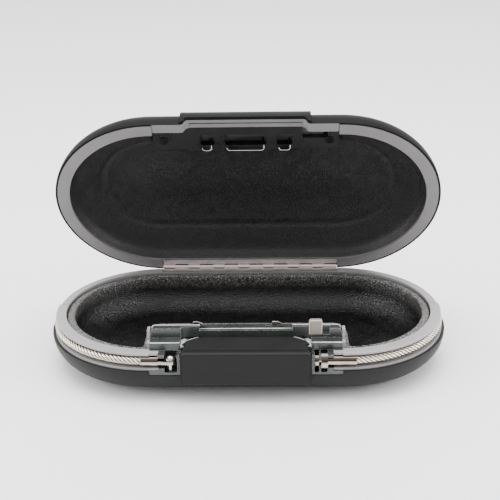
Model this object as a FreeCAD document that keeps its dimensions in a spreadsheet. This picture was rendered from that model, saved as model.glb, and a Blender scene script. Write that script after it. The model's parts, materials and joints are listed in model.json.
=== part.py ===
# Travel safe: an oblong clamshell box on a long hinge, with a combination lock across the front
# and a steel cable held in a channel round the rim. Millimetres, +Z up, +X right, -Y front.
# The origin lies on the table, in the middle of the base. The lid is modelled shut and then turned
# up about the hinge pin to the angle at which it stands open.
import FreeCAD, Part
import math
import os
import Sketcher

Vector = FreeCAD.Vector

doc = FreeCAD.newDocument("travel_safe")

# Driving dimensions, in millimetres and degrees
values = {
    "body_width": 242.0,
    "body_depth": 129.4,
    "base_height": 30.0,
    "mouth_gap": 0.4,
    "lid_open_angle": 63.7,
    "shell_wall": 2.6,
    "base_curve_width": 29.8,
    "base_side_radius": 16.0,
    "lid_edge_height": 1.2,
    "lid_curve_width": 55.0,
    "lid_side_radius": 17.0,
    "fit": 0.3,
    "thin_fit": 0.1,
    "bite": 0.5,
    "cut_over": 1.0,
    "cut_far": 5.0,
    # Base rim and its cable channel
    "flange": 1.4,
    "channel_height": 7.4,
    "channel_web": 1.6,
    "rim_inset": 8.8,
    "flange_inset": 2.6,
    "lower_flange_inset": 1.8,
    "rear_setback": 1.0,
    "rim_joint_y": 4.4,
    "rim_joint_gap": 0.5,
    "ledge_height": 2.4,
    "ledge_width": 5.2,
    "side_plate": 1.6,
    "side_plate_drop": 1.0,
    "rim_round": 0.8,
    # Lid rim
    "band_width": 7.5,
    "band_inset": 1.3,
    "band": 1.6,
    "strip_seam": 0.6,
    "step_inset": 1.0,
    "arch_rise": 4.1,
    "arch_groove": 0.5,
    # Foam
    "foam_side": 5.3,
    "foam_floor": 3.4,
    "foam_drop": 1.0,
    "foam_corner": 14.0,
    "foam_wall": 4.0,
    "lid_foam": 6.0,
    # Hinge
    "knuckles": 14.0,
    "knuckle_gap": 0.3,
    "knuckle_radius": 1.9,
    "knuckle_clear": 0.8,
    "pin_radius": 0.95,
    "pin_play": 0.05,
    "leaf": 0.8,
    "hinge_over": 2.1,
    # Cable and its two ends
    "cable_diameter": 4.8,
    "cable_play": 0.2,
    "cable_proud": 0.9,
    "ferrule_radius": 3.1,
    "eye_thickness": 2.0,
    "eye_taper": 0.4,
    "rivet_root": 1.2,
    "rivet_dome": 2.3,
    "plug_head_radius": 3.6,
    "plug_neck_radius": 1.6,
    "collar_radius": 5.1,
    # Lock housing
    "lock_ledge_drop": 0.1,
    "lock_floor": 6.4,
    "roof_thickness": 2.2,
    "seat_slot": 3.7,
    "seat_play": 0.2,
    "back_plate": 1.2,
    "lock_inset": 1.4,
    "lock_drawn": 54.9,
    "wall_corner": 3.0,
    # Hood over the dials
    "hood_corner": 14.0,
    "hood_edge": 2.4,
    "hood_shoulder": 5.0,
    "hood_cap": 1.1,
    "hood_face": 3.7,
    "bezel": 1.2,
    "bezel_corner": 2.5,
    "cover_thickness": 1.0,
    "cover_corner": 3.0,
    "cover_recess": 1.9,
    "cover_barrel": 1.3,
    "cover_pin_radius": 0.6,
    # Dials
    "dial_radius": 8.3,
    "dial_flutes": 10.0,
    "dial_flute_radius": 1.5,
    "spindle_radius": 2.0,
    "window_half_height": 6.8,
    "detent_thickness": 0.6,
    "detent_foot": 6.0,
    # Open button, latch and reset lever
    "button_taller": 0.5,
    "button_travel": 3.0,
    "latch_thickness": 1.6,
    "hook_head": 1.8,
    "spring_wire": 0.7,
    "spring_radius": 1.9,
    "spring_turns": 5.0,
    "lever_thickness": 3.0,
    "lever_rise": 4.8,
    "lever_root": 4.0,
    "lever_proud": 0.2,
    "lever_corner": 1.2,
    # Strike in the lid
    "strike_gap": 1.1,
    "strike_thickness": 2.0,
    "strike_corner": 5.0,
    "strike_sheet": 1.0,
    "strike_foot_drop": 0.6,
    "strike_window_corner": 2.0,
    "strike_foot_width": 4.5,
    # Screws
    "screw_radius": 1.5,
    "screw_head_radius": 2.8,
    "screw_head": 1.8,
    "screw_bite": 5.0,
    "strike_screw_bite": 4.0,
    "screw_boss_radius": 4.0,
    "plate_screw": 1.0,
    "plate_screw_head": 2.0,
    "plate_screw_cap": 0.8,
    "plate_screw_length": 4.0,
    "plate_screw_rise": 4.0,
}

# Distances in from the body's foremost line, which is half its depth from the middle line
insets = {
    "step_front": 0.3,
    "step_back": 6.5,
    "arch_groove_front": 2.1,
    "hinge_y": 1.9,
    "lock_front": 0.7,
    "step_one_y": 7.1,
    "wall_front": 13.5,
    "wall_back": 18.5,
    "lock_back": 28.5,
    "lock_keel_y": 15.2,
    "hood_front": -2.2,
    "hood_back": 16.0,
    "hood_keel_y": 9.2,
    "dial_axis_y": 7.3,
    "button_back": 7.7,
    "latch_front": 23.5,
    "strike_front": 10.2,
    "strike_back": 30.1,
    "strike_window_front": 18.5,
    "strike_window_back": 27.3,
    "strike_screw_y": 22.7,
    "base_screw_y": 22.7,
}

# Heights above the mouth of the base, and below it where negative
levels = {
    "base_curve_height": -10.6,
    "closed_height": 29.5,
    "lock_lip_z": -12.6,
    "step_one_z": 4.6,
    "wall_top": 10.4,
    "lock_roof": 6.0,
    "chamber_floor": -17.8,
    "recess_top": 8.0,
    "window_floor": -11.1,
    "hood_top": 4.0,
    "cover_top": 1.4,
    "dial_axis_z": -8.5,
    "button_stem_low": -10.4,
    "button_stem_high": -6.2,
    "latch_low": -5.0,
    "latch_shoe_low": -10.7,
    "hook_under": 8.0,
}

# Lengths along the front, drawn for a lock of half width lock_drawn. They keep their share of the
# real lock, which reaches as far as the straight sides allow
spans = {
    "ferrule_length": 9.6,
    "eye_radius": 3.6,
    "eye_neck": 3.4,
    "ferrule_end_wall": 1.0,
    "rivet_radius": 1.5,
    "rivet_head": 2.9,
    "plug_head_length": 2.0,
    "plug_neck_length": 1.4,
    "collar_length": 3.6,
    "shaft_length": 16.4,
    "recess_half": 26.8,
    "hood_half": 37.1,
    "hood_side": 0.9,
    "hood_lap": 1.5,
    "arch_reach": 1.5,
    "arch_rest": 3.6,
    "bay_wall": 1.7,
    "plug_gap": 0.4,
    "eye_gap": 0.6,
    "gallery_wall": 3.5,
    "cover_pin_bite": 0.6,
    "dial_width": 8.4,
    "dial_pitch": 9.6,
    "dial_middle_x": -4.0,
    "spindle_lug": 2.2,
    "spindle_end_wall": 0.6,
    "detent_finger": 3.0,
    "button_x": 24.0,
    "button_half": 5.5,
    "button_stem": 2.4,
    "latch_right": 31.0,
    "latch_shoe_x": 17.6,
    "latch_rest_x": 8.0,
    "latch_rest_width": 4.0,
    "latch_travel": 3.6,
    "hook_stem": 3.0,
    "hook_reach": 4.0,
    "left_hook_x": -31.0,
    "right_hook_x": 15.0,
    "spring_tab_x": -22.0,
    "lever_x": 36.0,
    "lever_width": 7.5,
    "lever_travel": 4.0,
    "lever_room": 2.0,
    "strike_half": 56.4,
    "strike_left_from": -27.8,
    "strike_left_to": -19.8,
    "strike_middle_from": -12.9,
    "strike_middle_to": 11.9,
    "strike_right_from": 18.6,
    "strike_right_to": 27.7,
    "strike_screw_x": 50.5,
    "strap_end": 3.0,
    "base_screw_x": 46.0,
    "plate_screw_inset": 6.0,
    "back_plate_inset": 2.0,
}

cells = {**values, **insets, **levels, **spans}

sheet = doc.addObject("Spreadsheet::Sheet", "dims")
for row, (alias, value) in enumerate(cells.items(), start=1):
    sheet.set("A%d" % row, alias)
    sheet.set("B%d" % row, repr(value))
    sheet.setAlias("B%d" % row, alias)
doc.recompute()


class Size:
    """A length that knows its number and the sheet formula that gives it."""

    def __init__(self, number, formula):
        self.number = number
        self.formula = formula

    def joined(self, other, sign, number):
        right = other.formula if isinstance(other, Size) else repr(float(other))
        return Size(number, "(%s %s %s)" % (self.formula, sign, right))

    def __add__(self, other):
        return self.joined(other, "+", self.number + plain(other))

    def __sub__(self, other):
        return self.joined(other, "-", self.number - plain(other))

    def __mul__(self, other):
        return self.joined(other, "*", self.number * plain(other))

    def __truediv__(self, other):
        return self.joined(other, "/", self.number / plain(other))

    def __neg__(self):
        return Size(-self.number, "(0 - %s)" % self.formula)


def plain(value):
    return value.number if isinstance(value, Size) else float(value)


class Sheet:
    """Reads a named cell as a Size, measured from where its table says."""

    def __getattr__(self, alias):
        cell = Size(cells[alias], "dims." + alias)
        if alias in insets:
            return end_radius - cell
        if alias in levels:
            return self.base_height + cell
        if alias in spans:
            return cell * lock_half / self.lock_drawn
        return cell


s = Sheet()
end_radius = s.body_depth / 2
half_straight = (s.body_width - s.body_depth) / 2
lock_half = half_straight - s.lock_inset


def bind(obj, prop, value):
    # The property takes the number at once and follows the sheet from then on
    if isinstance(value, Size):
        obj.setExpression(prop, value.formula)
    else:
        obj.setExpression(prop, repr(float(value)))


def bind_place(obj, x, y, z):
    bind(obj, "Placement.Base.x", x)
    bind(obj, "Placement.Base.y", y)
    bind(obj, "Placement.Base.z", z)


# Shapes that the pieces are made from

def box(name, x0, x1, y0, y1, z0, z1):
    solid = doc.addObject("Part::Box", name)
    bind(solid, "Length", size_of(x0, x1))
    bind(solid, "Width", size_of(y0, y1))
    bind(solid, "Height", size_of(z0, z1))
    bind_place(solid, x0, y0, z0)
    return solid


def size_of(low, high):
    if isinstance(high, Size):
        return high - low
    return -(low - high) if isinstance(low, Size) else high - low


def cylinder(name, axis, radius, start, end, across, up=0.0):
    """A rod along the named axis from start to end. The other two coordinates keep the order
    x, y, z: across is the first of them and up the second."""
    rod = doc.addObject("Part::Cylinder", name)
    bind(rod, "Radius", radius)
    bind(rod, "Height", size_of(start, end))
    if axis == "x":
        rod.Placement.Rotation = FreeCAD.Rotation(Vector(0, 1, 0), 90)
        bind_place(rod, start, across, up)
    elif axis == "y":
        rod.Placement.Rotation = FreeCAD.Rotation(Vector(1, 0, 0), -90)
        bind_place(rod, across, start, up)
    else:
        bind_place(rod, across, up, start)
    return rod


def fuse(name, *shapes):
    joined = doc.addObject("Part::MultiFuse", name)
    joined.Shapes = list(shapes)
    joined.Refine = True
    return joined


def cut(name, base, *tools):
    tool = tools[0] if len(tools) == 1 else fuse(name + "_tools", *tools)
    result = doc.addObject("Part::Cut", name)
    result.Base = base
    result.Tool = tool
    result.Refine = True
    return result


def common(name, *shapes):
    result = doc.addObject("Part::MultiCommon", name)
    result.Shapes = list(shapes)
    result.Refine = True
    return result


def mirror(name, source, normal):
    result = doc.addObject("Part::Mirroring", name)
    result.Source = source
    result.Normal = normal
    return result


def group(name, *shapes):
    result = doc.addObject("Part::Compound", name)
    result.Links = list(shapes)
    return result


PLANES = {
    "xy": FreeCAD.Rotation(),
    "xz": FreeCAD.Rotation(Vector(1, 0, 0), 90),
    "yz": FreeCAD.Rotation(Vector(1, 1, 1), 120),
}


def arc_between(start, end, radius, turn):
    # turn +1 bulges to the left of the way from start to end, and -1 to the right
    half = (end - start) * 0.5
    middle = start + half
    left = Vector(-half.y, half.x, 0).normalize()
    sag = radius - math.sqrt(max(radius ** 2 - half.Length ** 2, 0.0))
    return Part.Arc(start, middle + left * sag * turn, end)


def sketch(name, rotation, outline):
    """A closed outline of corners. A corner (across, up, radius, turn) is reached from the one
    before it along an arc, and a corner (across, up) along a straight line."""
    drawn = doc.addObject("Sketcher::SketchObject", name)
    drawn.Placement = FreeCAD.Placement(Vector(), rotation)
    corners = [Vector(plain(corner[0]), plain(corner[1]), 0) for corner in outline]
    for index, corner in enumerate(outline):
        start = corners[index - 1]
        end = corners[index]
        if len(corner) == 4:
            edge = arc_between(start, end, plain(corner[2]), corner[3])
        else:
            edge = Part.LineSegment(start, end)
        drawn.addGeometry(edge, False)
    finish = []
    for index, corner in enumerate(outline):
        # An arc is stored anticlockwise, so one that turns the other way ends at its point 1
        clockwise = len(corner) == 4 and corner[3] > 0
        finish.append((index, 1 if clockwise else 2, 2 if clockwise else 1))
    for index in range(len(outline)):
        edge, end, start = finish[index]
        after, after_end, after_start = finish[(index + 1) % len(outline)]
        drawn.addConstraint(Sketcher.Constraint("Coincident", edge, end, after, after_start))
    for index, corner in enumerate(outline):
        edge, end, start = finish[index]
        lock(drawn, "DistanceX", edge, end, corner[0], -2)
        lock(drawn, "DistanceY", edge, end, corner[1], -1)
        if len(corner) == 4:
            made = drawn.addConstraint(Sketcher.Constraint("Radius", edge, plain(corner[2])))
            if isinstance(corner[2], Size):
                drawn.setExpression("Constraints[%d]" % made, corner[2].formula)
    return drawn


def lock(drawn, kind, edge, point, value, axis):
    if plain(value) == 0.0:
        drawn.addConstraint(Sketcher.Constraint("PointOnObject", edge, point, axis))
        return
    made = drawn.addConstraint(Sketcher.Constraint(kind, -1, 1, edge, point, plain(value)))
    if isinstance(value, Size):
        drawn.setExpression("Constraints[%d]" % made, value.formula)


def prism(name, plane, outline, start, end):
    """An outline in the xy, xz or yz plane, drawn out along the third axis from start to end."""
    drawn = sketch(name + "_outline", PLANES[plane], outline)
    along = {"xy": Vector(0, 0, 1), "xz": Vector(0, 1, 0), "yz": Vector(1, 0, 0)}[plane]
    place = {"xy": "z", "xz": "y", "yz": "x"}[plane]
    bind(drawn, "Placement.Base." + place, start)
    solid = doc.addObject("Part::Extrusion", name)
    solid.Base = drawn
    solid.DirMode = "Custom"
    solid.Dir = along
    bind(solid, "LengthFwd", size_of(start, end))
    solid.Solid = True
    return solid


# The section plane stands on the front side: its first axis points to the front, its second up
SECTION = FreeCAD.Rotation(Vector(0, -1, 0), Vector(0, 0, 1), Vector(-1, 0, 0), "ZXY")


def oblong(name, outline):
    """A section of (distance from the middle line, height) carried round the oblong plan: two
    straight sides and two half turns."""
    drawn = sketch(name + "_section", SECTION, outline)
    bind(drawn, "Placement.Base.x", half_straight)
    side = doc.addObject("Part::Extrusion", name + "_side")
    side.Base = drawn
    side.DirMode = "Custom"
    side.Dir = Vector(-1, 0, 0)
    bind(side, "LengthFwd", half_straight * 2)
    side.Solid = True
    end = doc.addObject("Part::Revolution", name + "_end")
    end.Source = drawn
    end.Axis = Vector(0, 0, 1)
    bind(end, "Base.x", half_straight)
    end.Angle = 180
    end.Solid = True
    other_side = mirror(name + "_other_side", side, Vector(0, 1, 0))
    other_end = mirror(name + "_other_end", end, Vector(1, 0, 0))
    return fuse(name, side, end, other_side, other_end)


def ring(name, inner, outer, low, high):
    return oblong(name, [(inner, low), (outer, low), (outer, high), (inner, high)])


def slab(name, outer, low, high):
    return oblong(name, [(0, low), (outer, low), (outer, high), (0, high)])


def half_shell(name, offset, mouth, curve_z, flat_z, width, side_radius, up):
    """One rounded half as a solid. Its side stands straight from the mouth to curve_z, then turns
    in over a small arc and a large one to the flat. Offset moves the whole face inward."""
    rim = end_radius - offset
    rise = (flat_z - curve_z) * up - offset
    run = width - offset
    small = side_radius - offset
    across = run - small
    large = (across * across + rise * rise - small * small) / (rise * 2 - small * 2)
    share = large / (large - small)
    join_r = rim - run + across * share
    join_z = curve_z + (rise - large + (large - rise) * share) * up
    return oblong(name, [
        (0, mouth),
        (rim, mouth),
        (rim, curve_z),
        (join_r, join_z, small, -up),
        (rim - run, curve_z + rise * up, large, -up),
        (0, curve_z + rise * up),
    ])


# Sizes that follow from the driving ones
lid_mouth = s.base_height + s.mouth_gap
lid_curve_z = lid_mouth + s.lid_edge_height
channel_floor = s.base_height - s.flange - s.channel_height
rim_bottom = channel_floor - s.flange
cable_z = s.base_height - s.flange - s.channel_height / 2
cable_radius = s.cable_diameter / 2
cable_r = end_radius - s.flange_inset + s.cable_proud - cable_radius
web_outer = cable_r - cable_radius - s.cable_play
web_inner = web_outer - s.channel_web
rim_inner = end_radius - s.rim_inset
hinge_z = s.base_height + s.mouth_gap / 2
FAR = s.body_width
hinge_half = half_straight + s.hinge_over
step_half = half_straight - s.step_inset
screw_hole = s.screw_radius + s.thin_fit
cover_half = s.hood_half - s.hood_side
chamber_half = s.hood_half - s.hood_lap
arch_foot_half = s.hood_half + s.arch_reach
arch_top_half = s.hood_half - s.arch_rest
window_inner = s.hood_half + s.bay_wall
eye_x = window_inner + s.eye_gap + s.eye_radius
eye_ferrule_end = eye_x + s.eye_radius + s.eye_neck
plug_head_x = window_inner + s.plug_gap
plug_neck_x = plug_head_x + s.plug_head_length
plug_collar_x = plug_neck_x + s.plug_neck_length
plug_shaft_x = plug_collar_x + s.collar_length
plug_end = plug_shaft_x + s.shaft_length
rim_tip = plug_shaft_x + s.gallery_wall


def base_half(name, offset):
    return half_shell(name, offset, s.base_height, s.base_curve_height, Size(0.0, "0"),
                      s.base_curve_width, s.base_side_radius, -1)


def lid_half(name, offset):
    return half_shell(name, offset, lid_mouth, lid_curve_z, s.closed_height,
                      s.lid_curve_width, s.lid_side_radius, 1)


# Base shell: thin moulded wall, an inner ledge for the rim, the opening for the lock
def make_base_shell():
    outer = base_half("base_outer", 0.0)
    inner = base_half("base_inner", s.shell_wall)
    over_rim = box("base_over_rim", -FAR, FAR, -FAR, FAR, rim_bottom, s.base_height + s.cut_far)
    wall = cut("base_wall", outer, inner, over_rim)
    ledge_out = end_radius - s.shell_wall + s.bite
    ledge = ring("base_ledge", end_radius - s.shell_wall - s.ledge_width, ledge_out,
                 rim_bottom - s.ledge_height, rim_bottom)
    bosses = []
    for side in (-1, 1):
        post = cylinder("base_post", "z", s.screw_boss_radius, 0.0, s.lock_floor,
                        s.base_screw_x * side, -s.base_screw_y)
        bosses.append(common("base_boss", post, base_half("base_boss_limit", 0.0)))
    opening = box("base_lock_opening", -lock_half - s.fit / 2, lock_half + s.fit / 2,
                  -FAR, -s.lock_keel_y, s.lock_lip_z - s.lock_ledge_drop, s.base_height + s.cut_far)
    hood_reach = s.hood_half + s.fit / 2
    dial_opening = box("base_dial_opening", -hood_reach, hood_reach,
                       -FAR, -s.hood_keel_y, s.chamber_floor, s.base_height + s.cut_far)
    holes = []
    for side in (-1, 1):
        x, y = s.base_screw_x * side, -s.base_screw_y
        holes.append(cylinder("base_screw_hole", "z", screw_hole, -s.cut_over,
                              s.lock_floor + s.cut_over, x, y))
        holes.append(cylinder("base_screw_sink", "z", s.screw_head_radius + s.fit, -s.cut_over,
                              screw_seat_z, x, y))
    body = fuse("base_body", wall, ledge, *bosses)
    return cut("base_shell", body, opening, dial_opening, *holes)


screw_seat_z = s.shell_wall
screw_end_z = s.lock_floor + s.screw_bite


def make_base_screws():
    screws = []
    for side in (-1, 1):
        x, y = s.base_screw_x * side, -s.base_screw_y
        head = cylinder("base_screw_head", "z", s.screw_head_radius, screw_seat_z - s.screw_head,
                        screw_seat_z, x, y)
        shank = cylinder("base_screw_shank", "z", s.screw_radius, screw_seat_z, screw_end_z, x, y)
        screws.append(fuse("base_screw", head, shank))
    return group("base_screws", *screws)


# Base rim: a channel section, open to the outside, that the cable lies in
def channel(name, top_outer, lower_outer):
    top_low = s.base_height - s.flange
    return oblong(name, [
        (web_inner, rim_bottom),
        (lower_outer, rim_bottom),
        (lower_outer, channel_floor),
        (web_outer, channel_floor),
        (web_outer, top_low),
        (top_outer, top_low),
        (top_outer, s.base_height - s.rim_round),
        (top_outer - s.rim_round, s.base_height, s.rim_round, -1),
        (rim_inner, s.base_height),
        (rim_inner, top_low),
        (web_inner, top_low),
    ])


top_flange_r = end_radius - s.flange_inset
lower_flange_r = end_radius - s.lower_flange_inset
tab_back = cable_r - cable_radius - s.cable_play


def make_front_rims():
    whole = channel("front_channel", top_flange_r, lower_flange_r)
    reach = box("front_rim_reach", -FAR, -lock_half - s.fit / 2, -FAR, s.rim_joint_y, 0, FAR)
    part = common("front_rim_part", whole, reach)
    top = box("front_rim_top_tab", -lock_half - s.cut_over, -rim_tip, -top_flange_r + s.rim_round, -tab_back,
              s.base_height - s.flange, s.base_height)
    low = box("front_rim_low_tab", -lock_half - s.cut_over, -rim_tip, -lower_flange_r, -tab_back,
              rim_bottom, channel_floor)
    room = cylinder("front_rim_ferrule_room", "x", s.ferrule_radius + s.cable_play,
                    -plug_end - s.fit, -rim_tip, -cable_r, cable_z)
    left = cut("front_rim_left", fuse("front_rim_blank", part, top, low, make_side_plate()), room)
    right = mirror("front_rim_right", left, Vector(1, 0, 0))
    return [left, right]


def make_side_plate():
    """Rises from the rim beside the lock, along its stepped outline and inside the lid's band."""
    low = s.base_height - s.foam_drop + s.fit
    top = s.wall_top - s.side_plate_drop
    step = s.step_one_z - s.side_plate_drop
    end = -lock_half - s.fit / 2
    return prism("front_rim_side_plate", "yz", [
        (-rim_inner - s.bite, low),
        (-s.wall_back, low),
        (-s.wall_back, top),
        (-s.wall_front, top),
        (-s.wall_front, step),
        (-rim_inner + s.fit, step),
        (-rim_inner + s.fit, s.base_height),
        (-rim_inner - s.bite, s.base_height),
    ], end - s.side_plate, end)


def make_rear_rim():
    whole = channel("rear_channel", top_flange_r - s.rear_setback,
                    lower_flange_r - s.rear_setback)
    reach = box("rear_rim_reach", -FAR, FAR, s.rim_joint_y + s.rim_joint_gap, FAR, 0, FAR)
    part = common("rear_rim_part", whole, reach)
    seat_half = hinge_half + s.fit
    seat = box("rear_leaf_seat", -seat_half, seat_half, rim_inner - s.cut_over,
               s.hinge_y + s.cut_far, s.base_height - s.leaf, s.base_height + s.cut_over)
    barrel = cylinder("rear_barrel_room", "x", knuckle_room, -seat_half, seat_half,
                      s.hinge_y, hinge_z)
    return cut("rear_rim", part, seat, barrel)


knuckle_room = s.knuckle_radius + s.knuckle_clear


# Lid rim: a flat band that steps outward beside the lock and rises over it in an arch
def arch_line(lift):
    """The underside of the front strip, or its top when lifted, from left to right."""
    low = lid_mouth + lift
    high = low + s.arch_rise
    foot = arch_foot_half
    top = arch_top_half
    run = foot - top
    middle = (foot + top) / 2
    half_up = low + s.arch_rise / 2
    turn_radius = (run * run + s.arch_rise * s.arch_rise) / (s.arch_rise * 4)
    return [
        (-step_half, low),
        (-foot, low),
        (-middle, half_up, turn_radius, -1),
        (-top, high, turn_radius, 1),
        (top, high),
        (middle, half_up, turn_radius, 1),
        (foot, low, turn_radius, -1),
        (step_half, low),
    ]


def arch_back(lift):
    """The same line drawn from right to left."""
    line = arch_line(lift)
    back = []
    for index in range(len(line) - 1, -1, -1):
        corner = line[index][:2]
        after = line[index + 1] if index + 1 < len(line) else corner
        back.append(corner + (after[2], -after[3]) if len(after) == 4 else corner)
    return back


def make_lid_rim():
    outer = end_radius - s.band_inset
    band = ring("lid_band", outer - s.band_width, outer, lid_mouth, lid_mouth + s.band)
    gap = box("lid_band_gap", -step_half, step_half, -FAR, 0.0, 0.0, FAR)
    strip = prism("lid_front_strip", "xz", arch_line(0.0) + arch_back(s.band),
                  -s.step_front, -s.step_back)
    seat_half = hinge_half + s.fit
    seat = box("lid_leaf_seat", -seat_half, seat_half, rim_inner - s.cut_over,
               s.hinge_y + s.cut_far, lid_mouth - s.cut_over, lid_mouth + s.leaf)
    barrel = cylinder("lid_barrel_room", "x", knuckle_room, -seat_half, seat_half,
                      s.hinge_y, hinge_z)
    groove = box("arch_groove_cut", -arch_top_half, arch_top_half, -s.arch_groove_front,
                 -s.step_back, 0.0, lid_mouth + s.arch_rise + s.arch_groove)
    back_part = cut("lid_band_part", band, gap, seat, barrel)
    seams = []
    for side in (-1, 1):
        seams.append(side_box("strip_seam_cut", step_half * side, (step_half - s.strip_seam) * side,
                              -FAR, -s.step_back, 0.0, lid_mouth + s.strip_seam))
    front_part = cut("lid_front_part", strip, groove, *seams)
    return fuse("lid_rim", back_part, front_part)


# Lid shell: domed wall with a rabbet for the rim and a raised pad that continues the hood
def hood_plan(half, front, back, corner):
    return [
        (-half, -front),
        (half, -front),
        (half, -back - corner),
        (half - corner, -back, corner, -1),
        (-half + corner, -back),
        (-half, -back - corner, corner, -1),
    ]


pad_lift = s.hood_front - end_radius


def make_lid_shell():
    outer = lid_half("lid_outer", 0.0)
    pad_dome = lid_half("lid_pad_dome", -pad_lift)
    pad_plan = prism("lid_pad_plan", "xy",
                     hood_plan(arch_foot_half, s.hood_front, s.wall_back, s.hood_corner),
                     lid_mouth, s.closed_height + s.cut_far)
    pad = common("lid_pad", pad_dome, pad_plan)
    bosses = []
    for side in (-1, 1):
        post = cylinder("lid_post", "z", s.screw_boss_radius, strike_top, s.closed_height,
                        s.strike_screw_x * side, -s.strike_screw_y)
        bosses.append(common("lid_boss", post, lid_half("lid_boss_limit", 0.0)))
    inner = lid_half("lid_inner", s.shell_wall)
    rabbet = slab("lid_rabbet", end_radius - s.band_inset, lid_mouth - s.cut_over,
                  lid_mouth + s.band)
    below = lid_mouth - s.cut_far
    room = prism("lid_strip_room", "xz",
                 [(-step_half, below)] + arch_line(s.band) + [(step_half, below)],
                 -s.step_front, -s.step_back + s.cut_far)
    notch = prism("lid_notch", "xz",
                  [(-step_half, below)] + arch_line(0.0) + [(step_half, below)],
                  -FAR, -s.step_back)
    seat_half = hinge_half + s.fit
    barrel = box("lid_shell_barrel_room", -seat_half, seat_half, s.hinge_y - knuckle_room,
                 s.hinge_y + FAR, 0.0, hinge_z + knuckle_room)
    hollow = cut("lid_hollow", fuse("lid_outside", outer, pad), inner)
    holes = []
    for side in (-1, 1):
        holes.append(cylinder("lid_screw_hole", "z", screw_hole, 0.0, strike_screw_top,
                              s.strike_screw_x * side, -s.strike_screw_y))
    body = fuse("lid_body", hollow, *bosses)
    return cut("lid_shell", body, rabbet, room, notch, barrel, *holes)


strike_low = s.wall_top + s.strike_gap
strike_top = strike_low + s.strike_thickness
strike_screw_top = strike_top + s.strike_screw_bite


# Strike in the lid: a dark plate over the lock with three openings, and the steel that shows in them
def strike_window(name, x0, x1, low, high, shrink=0.0):
    corner = s.strike_window_corner
    front = s.strike_window_front - shrink
    back = s.strike_window_back + shrink
    left = x0 + shrink
    right = x1 - shrink
    return prism(name, "xy", [
        (left, -front),
        (right, -front),
        (right, -back - corner),
        (right - corner, -back, corner, -1),
        (left + corner, -back),
        (left, -back - corner, corner, -1),
    ], low, high)


def strike_windows(name, low, high, shrink=0.0):
    spans = (("left", s.strike_left_from, s.strike_left_to),
             ("middle", s.strike_middle_from, s.strike_middle_to),
             ("right", s.strike_right_from, s.strike_right_to))
    return [strike_window(name + "_" + side, x0, x1, low, high, shrink) for side, x0, x1 in spans]


def make_strike_plate():
    corner = s.strike_corner
    plan = prism("strike_plan", "xy", [
        (-s.strike_half, -s.strike_front),
        (s.strike_half, -s.strike_front),
        (s.strike_half, -s.strike_back - corner),
        (s.strike_half - corner, -s.strike_back, corner, -1),
        (-s.strike_half + corner, -s.strike_back),
        (-s.strike_half, -s.strike_back - corner, corner, -1),
    ], strike_low, strike_top)
    inside = lid_half("strike_limit", s.shell_wall + s.fit)
    low = strike_low - s.cut_over
    high = strike_top + s.cut_over
    slot = box("strike_lever_slot", s.lever_x - s.lever_room,
               s.lever_x + s.lever_width + s.lever_travel + s.lever_room,
               -s.wall_front - s.lever_thickness, -s.wall_back + s.lever_thickness, low, high)
    holes = []
    for side in (-1, 1):
        holes.append(cylinder("strike_screw_hole", "z", screw_hole, low, high,
                              s.strike_screw_x * side, -s.strike_screw_y))
    return cut("strike_plate", common("strike_blank", plan, inside),
               slot, *strike_windows("strike_opening", low, high), *holes)


def make_strike_bracket():
    """A steel sheet on top of the plate. Under each opening it hangs down as a foot with a leg
    at its right-hand end, open to the left, where the hook comes in."""
    sheet_top = strike_top + s.strike_sheet
    foot_low = s.lock_roof + s.strike_foot_drop
    strap = box("strike_strap", s.strike_left_from - s.strap_end,
                s.strike_right_to + s.strap_end,
                -s.strike_window_back - s.strike_sheet, -s.strike_back - s.strike_sheet,
                strike_top, sheet_top)
    parts = [strap]
    spans = ((s.strike_left_from, s.strike_left_to), (s.strike_middle_from, s.strike_middle_to),
             (s.strike_right_from, s.strike_right_to))
    for x0, x1 in spans:
        back = -s.strike_window_back - s.fit
        front = back - s.strike_foot_width
        curtain = box("strike_curtain", x0 + s.strike_sheet, x1 - s.strike_sheet,
                      back - s.strike_sheet, back, foot_low, sheet_top)
        tongue = box("strike_tongue", x0 + s.strike_sheet, x1 - s.strike_sheet,
                     back - s.strike_sheet, -s.strike_window_back + s.strike_sheet,
                     strike_top, sheet_top)
        foot = box("strike_foot", x0 + s.strike_sheet, x1 - s.strike_sheet, front, back,
                   foot_low, foot_low + s.strike_sheet)
        leg = box("strike_leg", x1 - s.strike_sheet * 2, x1 - s.strike_sheet, front, back,
                  foot_low, strike_top)
        parts.extend([curtain, tongue, foot, leg])
    return fuse("strike_bracket", *parts)


def make_strike_screws():
    screws = []
    for side in (-1, 1):
        x, y = s.strike_screw_x * side, -s.strike_screw_y
        head = cylinder("strike_screw_head", "z", s.screw_head_radius, strike_low - s.screw_head / 2,
                        strike_low, x, y)
        shank = cylinder("strike_screw_shank", "z", s.screw_radius, strike_low, strike_screw_top,
                         x, y)
        screws.append(fuse("strike_screw", head, shank))
    return group("strike_screws", *screws)


# Foam: a tray in the base and a liner in the lid
def make_base_liner():
    outside = common("foam_outside", base_half("foam_fit", s.shell_wall + s.fit),
                     slab("foam_waist", foam_reach, 0.0, s.base_height - s.foam_drop))
    cavity_r = foam_reach - s.foam_side
    floor = s.shell_wall + s.fit + s.foam_floor
    corner = s.foam_corner
    hollow = oblong("foam_hollow", [
        (0, floor),
        (cavity_r - corner, floor),
        (cavity_r, floor + corner, corner, -1),
        (cavity_r, s.base_height + s.cut_far),
        (0, s.base_height + s.cut_far),
    ])
    room_half = lock_half + s.fit * 2
    kept = box("foam_front_wall", -room_half - s.foam_wall, room_half + s.foam_wall, -FAR,
               -foam_front + s.foam_wall, 0.0, FAR)
    lock_room = box("foam_lock_room", -room_half, room_half, -FAR, -foam_front, 0.0, FAR)
    return cut("base_liner", outside, cut("foam_cavity", hollow, kept), lock_room)


foam_front = s.lock_back - s.back_plate - s.plate_screw_cap - s.fit
foam_reach = rim_inner - s.fit


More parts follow.
